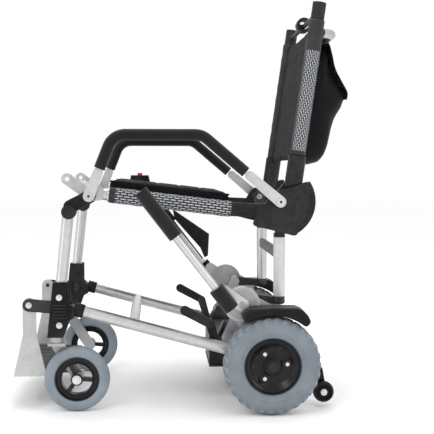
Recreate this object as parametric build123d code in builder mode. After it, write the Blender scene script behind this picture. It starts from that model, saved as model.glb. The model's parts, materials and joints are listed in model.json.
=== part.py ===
from build123d import *
import math
import os

os.makedirs("parts", exist_ok=True)

# Folding powered travel chair steered by two side levers.
# +Z is up, the chair faces -X, its left side is -Y. Millimetres.
# Side-view places are (x, z) pairs; a width is a distance from the middle plane.

# ---- driving dimensions ----
rear_wheel_d = 228.6
rear_tyre_width = 62.0
caster_d = 152.4
caster_tyre_width = 32.0
caster_trail = 46.3
tube_d = 28.0
cover_d = 37.0
frame_half_width = 212.0
track_half_width = 271.0
lever_half_width = 284.0
arm_half_width = 250.0
upright_half_width = 178.0
rear_axle_x = 196.5
caster_stem_x = -302.0

# ---- clearances ----
pin_gap = 0.05
loose_gap = 0.3
side_gap = 0.5

# ---- pivots of the folding parallelogram, side view ----
leg_pivot = (-294.5, 270.0)
knee_pivot = (-223.5, 505.0)
hip_pivot = (218.5, 491.0)
foot_pivot = (
    hip_pivot[0] + leg_pivot[0] - knee_pivot[0],
    hip_pivot[1] + leg_pivot[1] - knee_pivot[1],
)
rear_axle = (rear_axle_x, rear_wheel_d / 2)
caster_hub = (caster_stem_x + caster_trail, caster_d / 2)
steer_pivot = (129.0, 252.0)
footrest_pivot = (-369.6, 246.8)
clutch_pivot = (57.5, 199.6)
tip_wheel_hub = (328.7, 34.8)

tube_r = tube_d / 2
cover_r = cover_d / 2
cover_bore_r = tube_r + loose_gap
pivot_bolt_r = 5.0
knee_bore_r = pivot_bolt_r + loose_gap


def run(start, end, half_width):
    """Plane at the start of a side-view run, facing its end, and the run's length."""
    direction = Vector(end[0] - start[0], 0, end[1] - start[1])
    plane = Plane(origin=(start[0], -half_width, start[1]), z_dir=direction)
    return plane, direction.length


def side(inner_width):
    """Side-view plane on the left, at a distance from the middle plane; it faces outward."""
    return Plane.XZ.offset(inner_width)


def between(start, end, share):
    """The side-view point at a share of the way from start to end."""
    return (start[0] + (end[0] - start[0]) * share, start[1] + (end[1] - start[1]) * share)


def turned(point, centre, degrees):
    """A side-view point turned about a centre, nose towards the sky being positive."""
    x = point[0] - centre[0]
    z = point[1] - centre[1]
    c = math.cos(math.radians(degrees))
    s = math.sin(math.radians(degrees))
    return (centre[0] + x * c - z * s, centre[1] + x * s + z * c)


# ============ lower frame ============
rail_front = (-242.0, 234.6)
rail_rear = (183.0, 118.0)
rail_inner = frame_half_width - tube_r
rail_outer = frame_half_width + tube_r
rail_wall = 2.0

rail_plane, rail_length = run(rail_front, rail_rear, frame_half_width)
with BuildPart() as lower_rails:
    with BuildSketch(rail_plane):
        Circle(tube_r)
        Circle(tube_r - rail_wall, mode=Mode.SUBTRACT)
    extrude(amount=rail_length)
    mirror(about=Plane.XZ)
lower_rails.part.label = "lower_rails"
export_step(lower_rails.part, "parts/lower_rails.step")

# axle housings: the rails end in them, and they carry the wheel axles and the motors
gearbox_r = 31.0
gearbox_inner = 156.0
gearbox_outer = 232.0
rail_socket_r = tube_r + loose_gap
axle_r = 8.0
with BuildPart() as gearboxes:
    with BuildSketch(side(gearbox_inner)):
        with Locations(rear_axle):
            Circle(gearbox_r)
    extrude(amount=gearbox_outer - gearbox_inner)
    with BuildSketch(side(gearbox_inner + 6)):
        with Locations((rear_axle[0] + 24, rear_axle[1] - 12)):
            Rectangle(40, 34)
    extrude(amount=gearbox_outer - gearbox_inner - 12)
    with BuildSketch(rail_plane.offset(rail_length - 45)):
        Circle(rail_socket_r)
    extrude(amount=45 + loose_gap, mode=Mode.SUBTRACT)
    with BuildSketch(side(gearbox_outer - 40)):
        with Locations(rear_axle):
            Circle(axle_r)
    extrude(amount=40, mode=Mode.SUBTRACT)
    mirror(about=Plane.XZ)
gearboxes.part.label = "gearboxes"
export_step(gearboxes.part, "parts/gearboxes.step")

axle_tip = track_half_width + 17
with BuildPart() as wheel_axles:
    with BuildSketch(side(gearbox_outer - 40)):
        with Locations(rear_axle):
            Circle(axle_r)
    extrude(amount=axle_tip - gearbox_outer + 40)
    mirror(about=Plane.XZ)
wheel_axles.part.label = "wheel_axles"
export_step(wheel_axles.part, "parts/wheel_axles.step")

# cross tubes: one under the seat front, one behind the battery
cross_r = 13.0
front_cross = between(rail_front, rail_rear, 0.28)
rear_cross = (244.0, 100.0)
with BuildPart() as frame_crossbars:
    with BuildSketch(Plane.XZ.offset(-rail_inner + loose_gap)):
        with Locations(front_cross):
            Circle(cross_r)
    extrude(amount=2 * (rail_inner - loose_gap))
    with BuildSketch(Plane.XZ.offset(-gearbox_inner + loose_gap - 6)):
        with Locations(rear_cross):
            Circle(cross_r - 3)
    extrude(amount=2 * gearbox_inner + 12 - 2 * loose_gap)
frame_crossbars.part.label = "frame_crossbars"
export_step(frame_crossbars.part, "parts/frame_crossbars.step")

# side castings between the axle and the folding upright's pivot
bracket_ears = ((160.0, 7.5), (184.5, 7.5))
foot_bolt_r = 5.0
bracket_foot = (104.0, 160.0)
with BuildPart() as fold_brackets:
    for inner, thick in bracket_ears:
        with BuildSketch(side(inner)):
            with Locations(foot_pivot):
                Circle(13)
            with Locations(bracket_foot):
                Circle(16)
            make_hull()
        extrude(amount=thick)
    with BuildSketch(side(160)):
        with Locations(bracket_foot):
            Circle(16)
    extrude(amount=rail_inner - 160 - loose_gap)
    with BuildSketch(side(160)):
        with Locations(bracket_foot):
            Circle(14)
        with Locations((176, 120)):
            Circle(10)
        make_hull()
    extrude(amount=12)
    with BuildSketch(side(150)):
        with Locations(rear_axle):
            Circle(gearbox_r + loose_gap)
    extrude(amount=60, mode=Mode.SUBTRACT)
    with BuildSketch(side(bracket_ears[0][0])):
        with Locations(foot_pivot):
            Circle(foot_bolt_r)
    extrude(amount=bracket_ears[1][0] + bracket_ears[1][1] + 3 - bracket_ears[0][0])
    mirror(about=Plane.XZ)
fold_brackets.part.label = "fold_brackets"
export_step(fold_brackets.part, "parts/fold_brackets.step")

# outer plates that carry the lever discs and the fenders
plate_inner = gearbox_outer + 1
plate_thick = 5.0
disc_r = 42.5
disc_thick = 11.0
plate_tab = (196.0, 238.0)
with BuildPart() as side_plates:
    with BuildSketch(side(plate_inner)):
        with Locations(rear_axle):
            Circle(30)
        with Locations(steer_pivot):
            Circle(30)
        with Locations(plate_tab):
            Circle(12)
        make_hull()
        with Locations(rear_axle):
            Circle(axle_r + pin_gap, mode=Mode.SUBTRACT)
    extrude(amount=plate_thick)
    mirror(about=Plane.XZ)
side_plates.part.label = "side_plates"
export_step(side_plates.part, "parts/side_plates.step")

disc_inner = plate_inner + plate_thick
disc_outer = disc_inner + disc_thick
steer_pin_r = 8.0
steer_pin_length = 9.0
with BuildPart() as drive_discs:
    with BuildSketch(side(disc_inner)):
        with Locations(steer_pivot):
            Circle(disc_r)
    extrude(amount=disc_thick)
    chamfer(drive_discs.faces().sort_by(Axis.Y)[0].edges(), 2)
    with BuildSketch(side(disc_outer - 2)):
        with Locations(steer_pivot):
            Circle(disc_r - 9)
            Circle(steer_pin_r + 8, mode=Mode.SUBTRACT)
    extrude(amount=3, mode=Mode.SUBTRACT)
    with BuildSketch(side(disc_outer - 3)):
        with Locations(steer_pivot):
            Circle(steer_pin_r)
    extrude(amount=steer_pin_length + 3)
    mirror(about=Plane.XZ)
drive_discs.part.label = "drive_discs"
export_step(drive_discs.part, "parts/drive_discs.step")

# geared motors, lying forward and up from the axle housings
motor_r = 27.0
motor_half_width = 127.0
motor_start = (180.0, 124.0)
motor_end = (84.0, 174.0)
motor_plane, motor_length = run(motor_start, motor_end, motor_half_width)
with BuildPart() as motors:
    with BuildSketch(motor_plane):
        Circle(motor_r)
    extrude(amount=motor_length)
    chamfer(motors.faces().sort_by(Axis.X)[0].edges(), 3)
    with BuildSketch(side(motor_half_width)):
        with Locations(rear_axle):
            Circle(22)
    extrude(amount=gearbox_inner - motor_half_width)
    mirror(about=Plane.XZ)
motors.part.label = "motors"
export_step(motors.part, "parts/motors.step")

battery_low = (62.0, 76.0)
battery_size = (166.0, 86.0)
battery_half_width = 88.0
tray_wall = 4.0
battery_centre = (battery_low[0] + battery_size[0] / 2, battery_low[1] + battery_size[1] / 2)
with BuildPart() as battery_pack:
    with BuildSketch(Plane.XZ.offset(-battery_half_width)):
        with Locations(battery_centre):
            RectangleRounded(battery_size[0], battery_size[1], 10)
    extrude(amount=2 * battery_half_width)
battery_pack.part.label = "battery_pack"
export_step(battery_pack.part, "parts/battery_pack.step")

tray_length = rear_cross[0] + cross_r - battery_low[0]
with BuildPart() as battery_tray:
    with BuildSketch(Plane.XY.offset(battery_low[1] - tray_wall)):
        with Locations((battery_low[0] + tray_length / 2, 0)):
            Rectangle(tray_length, 2 * battery_half_width + 8)
    extrude(amount=tray_wall)
    with BuildSketch(Plane.XZ.offset(-battery_half_width)):
        with Locations((rear_cross[0], battery_low[1])):
            Rectangle(14, rear_cross[1] - cross_r + 3 - battery_low[1] - loose_gap,
                      align=(Align.CENTER, Align.MIN))
    extrude(amount=2 * battery_half_width)
battery_tray.part.label = "battery_tray"
export_step(battery_tray.part, "parts/battery_tray.step")

# fenders over the drive tyres
fender_top = 255.0
fender_gap = 5.0
fender_inner = disc_inner
fender_outer = track_half_width + rear_tyre_width / 2
fender_front_inner = disc_outer + steer_pin_length + 2
with BuildPart() as fenders:
    with BuildSketch(side(fender_inner)):
        with Locations((228, fender_top)):
            RectangleRounded(104, 84, 12, align=(Align.CENTER, Align.MAX))
        with Locations(rear_axle):
            Circle(rear_wheel_d / 2 + fender_gap, mode=Mode.SUBTRACT)
        with Locations((176, 150)):
            Rectangle(80, 140, align=(Align.CENTER, Align.CENTER), mode=Mode.SUBTRACT)
    extrude(amount=fender_outer - fender_inner)
    with BuildSketch(side(fender_front_inner)):
        with Locations((165, fender_top)):
            RectangleRounded(58, 22, 9, align=(Align.CENTER, Align.MAX))
        with Locations(rear_axle):
            Circle(rear_wheel_d / 2 + fender_gap, mode=Mode.SUBTRACT)
    extrude(amount=fender_outer - fender_front_inner)
    fillet(fenders.faces().sort_by(Axis.Y)[0].edges(), 3)
    mirror(about=Plane.XZ)
fenders.part.label = "fenders"
export_step(fenders.part, "parts/fenders.step")

# rear anti-tip arms, with the small wheels' pins
tip_wheel_half_width = 210.0
tip_wheel_width = 18.0
tip_wheel_r = 25.0
tip_arm_thick = 8.0
tip_pin_r = 4.0
tip_arm_inner = tip_wheel_half_width - tip_wheel_width / 2 - side_gap - tip_arm_thick
with BuildPart() as anti_tip_arms:
    with BuildSketch(side(tip_arm_inner)):
        with Locations((250, 96)):
            Circle(11)
        with Locations((318, 84)):
            Circle(11)
        make_hull()
    extrude(amount=tip_arm_thick)
    with BuildSketch(side(tip_arm_inner)):
        with Locations((318, 84)):
            Circle(11)
        with Locations(tip_wheel_hub):
            Circle(9)
        make_hull()
    extrude(amount=tip_arm_thick)
    with BuildSketch(side(tip_arm_inner)):
        with Locations(tip_wheel_hub):
            Circle(tip_pin_r)
    extrude(amount=tip_arm_thick + tip_wheel_width + side_gap + 4)
    with BuildSketch(side(gearbox_inner)):
        with Locations((rear_axle[0] + 24, rear_axle[1] - 12)):
            Rectangle(40.6, 34.6)
    extrude(amount=80, mode=Mode.SUBTRACT)
    mirror(about=Plane.XZ)
anti_tip_arms.part.label = "anti_tip_arms"
export_step(anti_tip_arms.part, "parts/anti_tip_arms.step")

tip_wheel_names = {-1: "anti_tip_wheel_left", 1: "anti_tip_wheel_right"}
for hand, name in tip_wheel_names.items():
    with BuildPart() as tip_wheel:
        with BuildSketch(Plane.XZ.offset(-hand * tip_wheel_half_width - tip_wheel_width / 2)):
            with Locations(tip_wheel_hub):
                Circle(tip_wheel_r)
                Circle(tip_pin_r + pin_gap, mode=Mode.SUBTRACT)
        extrude(amount=tip_wheel_width)
        chamfer(tip_wheel.edges().filter_by(GeomType.CIRCLE).group_by(SortBy.RADIUS)[-1], 2)
    tip_wheel.part.label = name
    export_step(tip_wheel.part, "parts/" + name + ".step")

# clutch levers that free the motors, on brackets over the rails
clutch_inner = 199.0
clutch_thick = 10.0
clutch_end = (-3.0, 232.7)
clutch_pin_r = 4.0
with BuildPart() as freewheel_brackets:
    with BuildSketch(side(clutch_inner - 7)):
        with Locations(clutch_pivot):
            Circle(11)
        with Locations((72, 152)):
            Circle(9)
        make_hull()
    extrude(amount=rail_inner - loose_gap - clutch_inner + 7)
    with BuildSketch(side(clutch_inner - 7)):
        with Locations(clutch_pivot):
            Circle(clutch_pin_r)
    extrude(amount=clutch_thick + 10)
    mirror(about=Plane.XZ)
freewheel_brackets.part.label = "freewheel_brackets"
export_step(freewheel_brackets.part, "parts/freewheel_brackets.step")

clutch_names = {-1: "freewheel_lever_left", 1: "freewheel_lever_right"}
for hand, name in clutch_names.items():
    with BuildPart() as clutch:
        with BuildSketch(side(clutch_inner)):
            with Locations(clutch_pivot):
                Circle(10)
            with Locations(clutch_end):
                Circle(11)
            make_hull()
            with Locations(clutch_pivot):
                Circle(clutch_pin_r + pin_gap, mode=Mode.SUBTRACT)
        extrude(amount=clutch_thick)
        if hand > 0:
            mirror(about=Plane.XZ, mode=Mode.REPLACE)
    clutch.part.label = name
    export_step(clutch.part, "parts/" + name + ".step")

# ============ front: housings, casters, footrest ============
lean = math.degrees(math.atan2(-273.9 + 300.8, 464 - 155.5))
leg_top = (-273.9, 464.0)
housing_top = 305.0
housing_low = 176.0
housing_floor = 252.0
housing_w = 37.0
housing_wall = 4.5
leg_bolt_r = 4.0
stem_r = 9.0
leg_at_low = between(leg_pivot, leg_top, (housing_low - leg_pivot[1]) / (leg_top[1] - leg_pivot[1]))
leg_at_top = between(leg_pivot, leg_top, (housing_top - leg_pivot[1]) / (leg_top[1] - leg_pivot[1]))
leg_at_floor = between(leg_pivot, leg_top, (housing_floor - leg_pivot[1]) / (leg_top[1] - leg_pivot[1]))
half_w = housing_w / 2
with BuildPart() as front_housings:
    with BuildSketch(side(frame_half_width - half_w)):
        with BuildLine():
            Polyline(
                (leg_at_low[0] - half_w, housing_low),
                (leg_at_low[0] + half_w, housing_low),
                (leg_at_floor[0] + half_w + 6, 215),
                (leg_at_floor[0] + half_w + 18, 222),
                (leg_at_floor[0] + half_w + 18, 246),
                (leg_at_floor[0] + half_w + 6, 256),
                (leg_at_top[0] + half_w, housing_top),
                (leg_at_top[0] - half_w, housing_top),
                close=True,
            )
        make_face()
    extrude(amount=housing_w)
    with BuildSketch(side(frame_half_width - half_w + housing_wall)):
        with BuildLine():
            Polyline(
                (leg_at_floor[0] - half_w + housing_wall - 1, housing_floor),
                (leg_at_floor[0] + half_w + 40, housing_floor - 2),
                (leg_at_top[0] + half_w + 40, housing_top + 1),
                (leg_at_top[0] - half_w + housing_wall - 1, housing_top + 1),
                close=True,
            )
        make_face()
    extrude(amount=housing_w - 2 * housing_wall, mode=Mode.SUBTRACT)
    with BuildSketch(side(frame_half_width - half_w)):
        with Locations(leg_pivot):
            Circle(leg_bolt_r)
    extrude(amount=housing_w + 3)
    with BuildSketch(rail_plane.offset(-1)):
        Circle(tube_r + loose_gap)
    extrude(amount=60, mode=Mode.SUBTRACT)
    with BuildSketch(Plane.XY.offset(housing_low - 1)):
        with Locations((caster_stem_x, -frame_half_width)):
            Circle(stem_r + pin_gap)
    extrude(amount=52, mode=Mode.SUBTRACT)
    mirror(about=Plane.XZ)
front_housings.part.label = "front_housings"
export_step(front_housings.part, "parts/front_housings.step")

arm_plate_inner = 186.5
arm_plate_thick = frame_half_width - half_w - side_gap / 2 - arm_plate_inner
with BuildPart() as footrest_arms:
    with BuildSketch(side(arm_plate_inner)):
        with Locations(footrest_pivot):
            Circle(15)
        with Locations((-298.0, 240.0)):
            Circle(15)
        make_hull()
    extrude(amount=arm_plate_thick)
    with BuildSketch(side(arm_plate_inner - 8)):
        with Locations(footrest_pivot):
            Circle(5)
    extrude(amount=9)
    mirror(about=Plane.XZ)
footrest_arms.part.label = "footrest_arms"
export_step(footrest_arms.part, "parts/footrest_arms.step")

# casters: stem, bent crown, leg on the inner side, and the wheel's axle
crown_low = caster_d + 4
crown_thick = 6.0
crown_width = 45.5
fork_leg_thick = 6.0
fork_leg_inner = frame_half_width - caster_tyre_width / 2 - 3.5 - fork_leg_thick
caster_axle_r = 4.0
tyre_edge = caster_tyre_width / 2
caster_names = {-1: "left", 1: "right"}
for hand, name in caster_names.items():
    with BuildPart() as fork:
        with BuildSketch(Plane.XY.offset(crown_low)):
            with Locations((caster_stem_x, -fork_leg_inner - crown_width / 2)):
                Rectangle(40, crown_width)
        extrude(amount=crown_thick)
        with BuildSketch(Plane.XY.offset(crown_low + crown_thick)):
            with Locations((caster_stem_x, -frame_half_width)):
                Circle(stem_r + 7)
        extrude(amount=housing_low - side_gap - crown_low - crown_thick)
        with BuildSketch(Plane.XY.offset(crown_low + crown_thick)):
            with Locations((caster_stem_x, -frame_half_width)):
                Circle(stem_r)
        extrude(amount=60)
        with BuildSketch(side(fork_leg_inner)):
            with Locations((caster_stem_x, crown_low - 8)):
                Circle(14)
            with Locations(caster_hub):
                Circle(14)
            make_hull()
        extrude(amount=fork_leg_thick)
        with BuildSketch(side(fork_leg_inner)):
            with Locations((caster_stem_x, crown_low - 8)):
                Rectangle(28, 14 + crown_thick, align=(Align.CENTER, Align.MIN))
        extrude(amount=fork_leg_thick)
        with BuildSketch(side(fork_leg_inner + fork_leg_thick)):
            with Locations(caster_hub):
                Circle(caster_axle_r)
        extrude(amount=frame_half_width + tyre_edge - fork_leg_inner - fork_leg_thick)
        with BuildSketch(side(frame_half_width + tyre_edge)):
            with Locations(caster_hub):
                Circle(9)
        extrude(amount=3)
        if hand > 0:
            mirror(about=Plane.XZ, mode=Mode.REPLACE)
    fork.part.label = "caster_fork_" + name
    export_step(fork.part, "parts/caster_fork_" + name + ".step")

# wheels are turned about their axle; their places are (distance from axle, distance from wheel plane)
def wheel_plane(hub, half_width):
    """Plane through a wheel's axis: x runs outward from the hub, y along the axle."""
    return Plane(origin=(hub[0], half_width, hub[1]), x_dir=(1, 0, 0), z_dir=(0, 0, 1))


caster_rim_r = 52.0
for hand, name in caster_names.items():
    caster_plane = wheel_plane(caster_hub, hand * frame_half_width)
    caster_axis = Axis((caster_hub[0], 0, caster_hub[1]), (0, 1, 0))
    with BuildPart() as caster_tyre:
        with BuildSketch(caster_plane):
            with BuildLine():
                Line((caster_rim_r, -13), (caster_rim_r, 13))
                Line((caster_rim_r, 13), (60, tyre_edge))
                Spline((60, tyre_edge), (caster_d / 2, 0), (60, -tyre_edge), tangents=[(1, 0), (-1, 0)])
                Line((60, -tyre_edge), (caster_rim_r, -13))
            make_face()
        revolve(axis=caster_axis, revolution_arc=360)
    caster_tyre.part.label = "caster_tyre_" + name
    export_step(caster_tyre.part, "parts/caster_tyre_" + name + ".step")
    with BuildPart() as caster_rim:
        with BuildSketch(caster_plane):
            with Locations((caster_rim_r - 9, 0)):
                Rectangle(18, 24)
            with Locations(((caster_axle_r + pin_gap + 15) / 2, 0)):
                Rectangle(15 - caster_axle_r - pin_gap, 2 * tyre_edge - 2)
        revolve(axis=caster_axis, revolution_arc=360)
        for angle in (-5, 115, 235):
            spoke_end = turned((caster_hub[0] + 38, caster_hub[1]), caster_hub, angle)
            spoke_start = turned((caster_hub[0] + 14, caster_hub[1]), caster_hub, angle)
            with BuildSketch(Plane.XZ.offset(-hand * frame_half_width - 6)):
                with Locations(spoke_start):
                    Circle(4.5)
                with Locations(spoke_end):
                    Circle(6)
                make_hull()
            extrude(amount=12)
    caster_rim.part.label = "caster_rim_" + name
    export_step(caster_rim.part, "parts/caster_rim_" + name + ".step")

hanger_inner = 180.0
hanger_thick = 5.5
hanger_w = 32.0
foot_plate_top = 84.0
foot_plate_thick = 8.0
hanger_low = foot_plate_top - foot_plate_thick
foot_front_x = -407.0
foot_back_x = -271.0
hanger_back_x = -330.0
with BuildPart() as footrest_hangers:
    with BuildSketch(side(hanger_inner)):
        with BuildLine():
            Polyline(
                (footrest_pivot[0] - hanger_w / 2, footrest_pivot[1]),
                (footrest_pivot[0] - hanger_w / 2, 175),
                (foot_front_x, hanger_low + 6),
                (foot_front_x, hanger_low),
                (hanger_back_x, hanger_low),
                (footrest_pivot[0] + hanger_w / 2, 175),
                (footrest_pivot[0] + hanger_w / 2, footrest_pivot[1]),
                close=True,
            )
        make_face()
        with Locations(footrest_pivot):
            Circle(hanger_w / 2)
        with Locations(footrest_pivot):
            Circle(5 + pin_gap, mode=Mode.SUBTRACT)
    extrude(amount=hanger_thick)
    mirror(about=Plane.XZ)
footrest_hangers.part.label = "footrest_hangers"
export_step(footrest_hangers.part, "parts/footrest_hangers.step")

with BuildPart() as footplate:
    with BuildSketch(Plane.XY.offset(hanger_low)):
        with Locations((foot_front_x, 0)):
            Rectangle(hanger_back_x - foot_front_x - 5, 2 * hanger_inner, align=(Align.MIN, Align.CENTER))
        with Locations((foot_front_x, 0)):
            Rectangle(foot_back_x - foot_front_x, 300, align=(Align.MIN, Align.CENTER))
    extrude(amount=foot_plate_thick)
    fillet(footplate.edges().filter_by(Axis.Z).sort_by(Axis.X)[-2:], 12)
footplate.part.label = "footplate"
export_step(footplate.part, "parts/footplate.step")

# ============ rear wheels ============
rim_r = 65.5
rim_names = {-1: "left", 1: "right"}
for hand, name in rim_names.items():
    drive_plane = wheel_plane(rear_axle, hand * track_half_width)
    drive_axis = Axis((rear_axle[0], 0, rear_axle[1]), (0, 1, 0))
    edge = rear_tyre_width / 2
    with BuildPart() as rear_tyre:
        with BuildSketch(drive_plane):
            with BuildLine():
                Polyline((84, -edge), (rim_r, -24), (rim_r, 24), (84, edge), (96, edge))
                Spline((96, edge), (rear_wheel_d / 2 - 4, 17), (rear_wheel_d / 2, 0),
                       (rear_wheel_d / 2 - 4, -17), (96, -edge))
                Line((96, -edge), (84, -edge))
            make_face()
        revolve(axis=drive_axis, revolution_arc=360)
    rear_tyre.part.label = "rear_tyre_" + name
    export_step(rear_tyre.part, "parts/rear_tyre_" + name + ".step")
    with BuildPart() as rear_rim:
        with BuildSketch(drive_plane):
            with Locations((rim_r - 3, 0)):
                Rectangle(6, 48)
            with Locations(((axle_r + pin_gap + rim_r) / 2, 0)):
                Rectangle(rim_r - axle_r - pin_gap, 8)
            with Locations(((axle_r + pin_gap + 17.5) / 2, 0)):
                Rectangle(17.5 - axle_r - pin_gap, 30)
        revolve(axis=drive_axis, revolution_arc=360)
        for angle in (8, 123, 237):
            bolt = turned((rear_axle[0] + 34, rear_axle[1]), rear_axle, angle)
            with BuildSketch(Plane.XZ.offset(-hand * track_half_width - 10)):
                with Locations(bolt):
                    Circle(7)
            extrude(amount=20)
    rear_rim.part.label = "rear_rim_" + name
    export_step(rear_rim.part, "parts/rear_rim_" + name + ".step")

# ============ folding front legs ============
leg_start = between(leg_pivot, leg_top, -0.02)
leg_plane, leg_length = run(leg_start, leg_top, frame_half_width)
with BuildPart() as front_legs:
    with BuildSketch(leg_plane):
        Circle(tube_r - side_gap)
    extrude(amount=leg_length)
    with BuildSketch(side(frame_half_width - half_w)):
        with Locations(leg_pivot):
            Circle(leg_bolt_r + pin_gap)
    extrude(amount=housing_w, mode=Mode.SUBTRACT)
    mirror(about=Plane.XZ)
front_legs.part.label = "front_legs"
export_step(front_legs.part, "parts/front_legs.step")

# knee castings: a socket on the leg and a fork around the seat rail's eye
eye_thick = 12.0
eye_inner = frame_half_width - eye_thick / 2
with BuildPart() as knee_castings:
    with BuildSketch(side(frame_half_width - 13)):
        with Locations(knee_pivot):
            Circle(14)
        with Locations((leg_top[0] + 6, leg_top[1] + 16)):
            Circle(16)
        make_hull()
    extrude(amount=26)
    with BuildSketch(side(frame_half_width - 16)):
        with Locations((leg_top[0] + 2, leg_top[1] + 4)):
            Circle(17)
    extrude(amount=32)
    with BuildSketch(leg_plane):
        Circle(tube_r)
    extrude(amount=leg_length, mode=Mode.SUBTRACT)
    with BuildSketch(side(eye_inner - side_gap)):
        with Locations(knee_pivot):
            Circle(19)
            Rectangle(60, 19, align=(Align.MIN, Align.CENTER))
    extrude(amount=eye_thick + 2 * side_gap, mode=Mode.SUBTRACT)
    with BuildSketch(side(frame_half_width - 20)):
        with Locations(knee_pivot):
            Circle(knee_bore_r)
    extrude(amount=40, mode=Mode.SUBTRACT)
    mirror(about=Plane.XZ)
knee_castings.part.label = "knee_castings"
export_step(knee_castings.part, "parts/knee_castings.step")

# ============ folding rear uprights ============
upright_x = 225.5
upright_low = 262.0
upright_top = 404.0
head_inner = 181.0
head_thick = 9.5
with BuildPart() as uprights:
    with BuildSketch(Plane.XY.offset(upright_low)):
        with Locations((upright_x, -upright_half_width)):
            Circle(tube_r)
            Circle(tube_r - rail_wall, mode=Mode.SUBTRACT)
    extrude(amount=upright_top - upright_low)
    mirror(about=Plane.XZ)
uprights.part.label = "uprights"
export_step(uprights.part, "parts/uprights.step")

with BuildPart() as upright_castings:
    with BuildSketch(side(upright_half_width - 8)):
        with Locations(foot_pivot):
            Circle(12)
        with Locations((upright_x + 6, upright_low - 12)):
            Circle(8)
        make_hull()
    extrude(amount=12)
    with BuildSketch(Plane.XY.offset(upright_low - 15)):
        with Locations((upright_x, -upright_half_width)):
            Circle(tube_r)
    extrude(amount=15)
    with BuildSketch(side(upright_half_width - 9)):
        with Locations(foot_pivot):
            Circle(foot_bolt_r + pin_gap)
    extrude(amount=14, mode=Mode.SUBTRACT)
    with BuildSketch(Plane.XY.offset(upright_top)):
        with Locations((upright_x, -upright_half_width)):
            Circle(tube_r)
    extrude(amount=10)
    with BuildSketch(side(head_inner)):
        with Locations(hip_pivot):
            Circle(16)
        with Locations((upright_x, upright_top + 13)):
            Circle(11.5)
        make_hull()
        with Locations(hip_pivot):
            Circle(pivot_bolt_r + pin_gap, mode=Mode.SUBTRACT)
    extrude(amount=head_thick)
    mirror(about=Plane.XZ)
upright_castings.part.label = "upright_castings"
export_step(upright_castings.part, "parts/upright_castings.step")

with BuildPart() as upright_crossbar:
    with BuildSketch(Plane.XZ.offset(-(upright_half_width - tube_r - loose_gap))):
        with Locations((upright_x, 362)):
            RectangleRounded(16, 24, 4)
    extrude(amount=2 * (upright_half_width - tube_r - loose_gap))
upright_crossbar.part.label = "upright_crossbar"
export_step(upright_crossbar.part, "parts/upright_crossbar.step")

# ============ seat ============
seat_front = (-192.0, 508.8)
seat_rear = (106.4, 473.0)
seat_plane, seat_length = run(seat_front, seat_rear, frame_half_width)
sector_inner = 213.0
sector_thick = 13.0
sector_r = 78.0
with BuildPart() as seat_rails:
    with BuildSketch(seat_plane):
        Circle(tube_r)
    extrude(amount=seat_length)
    with BuildSketch(side(eye_inner)):
        with Locations(knee_pivot):
            Circle(13)
        with Locations(seat_front):
            Circle(13)
        make_hull()
        with Locations(knee_pivot):
            Circle(pivot_bolt_r, mode=Mode.SUBTRACT)
    extrude(amount=eye_thick)
    mirror(about=Plane.XZ)
seat_rails.part.label = "seat_rails"
export_step(seat_rails.part, "parts/seat_rails.step")

with BuildPart() as rail_covers:
    with BuildSketch(seat_plane.offset(14)):
        Circle(cover_r)
        Circle(cover_bore_r, mode=Mode.SUBTRACT)
    extrude(amount=seat_length - 14)
    mirror(about=Plane.XZ)
rail_covers.part.label = "rail_covers"
export_step(rail_covers.part, "parts/rail_covers.step")

ear_high = (hip_pivot[0] + 66.5, hip_pivot[1] + 37)
ear_low = (hip_pivot[0] + 35.5, hip_pivot[1] - 70.5)
with BuildPart() as sector_castings:
    with BuildSketch(side(sector_inner)):
        with Locations(hip_pivot):
            Circle(25)
        with Locations(ear_high):
            Circle(9)
        with Locations(ear_low):
            Circle(10)
        with Locations((165, 440)):
            Circle(7)
        with Locations((hip_pivot[0] + sector_r - 12, hip_pivot[1] - 18)):
            Circle(12)
        make_hull()
        with Locations(ear_high, ear_low):
            Circle(4, mode=Mode.SUBTRACT)
    extrude(amount=sector_thick)
    with BuildSketch(side(sector_inner)):
        with Locations(seat_rear):
            Circle(16)
        with Locations((hip_pivot[0] - 20, hip_pivot[1] - 22)):
            Circle(16)
        make_hull()
    extrude(amount=sector_thick)
    with BuildSketch(seat_plane):
        Circle(cover_r + loose_gap)
    extrude(amount=seat_length + loose_gap, mode=Mode.SUBTRACT)
    with BuildSketch(side(sector_inner - 1)):
        with Locations(hip_pivot):
            Circle(pivot_bolt_r)
    extrude(amount=sector_thick + 2, mode=Mode.SUBTRACT)
    mirror(about=Plane.XZ)
sector_castings.part.label = "sector_castings"
export_step(sector_castings.part, "parts/sector_castings.step")

link_inner = 189.5
link_thick = 6.0
link_tip = (-277.6, 544.0)
link_w = 27.0
with BuildPart() as front_link_plates:
    with BuildSketch(side(link_inner)):
        with Locations(knee_pivot):
            Circle(link_w / 2)
        with Locations(link_tip):
            Circle(link_w / 2)
        make_hull()
        with Locations(knee_pivot):
            Circle(pivot_bolt_r, mode=Mode.SUBTRACT)
        with Locations(link_tip):
            Circle(5, mode=Mode.SUBTRACT)
    extrude(amount=link_thick)
    mirror(about=Plane.XZ)
    with BuildSketch(Plane.XZ.offset(-link_inner)):
        with Locations(between(knee_pivot, link_tip, 0.62)):
            Rectangle(24, 6, rotation=-35.8)
    extrude(amount=2 * link_inner)
front_link_plates.part.label = "front_link_plates"
export_step(front_link_plates.part, "parts/front_link_plates.step")

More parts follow.
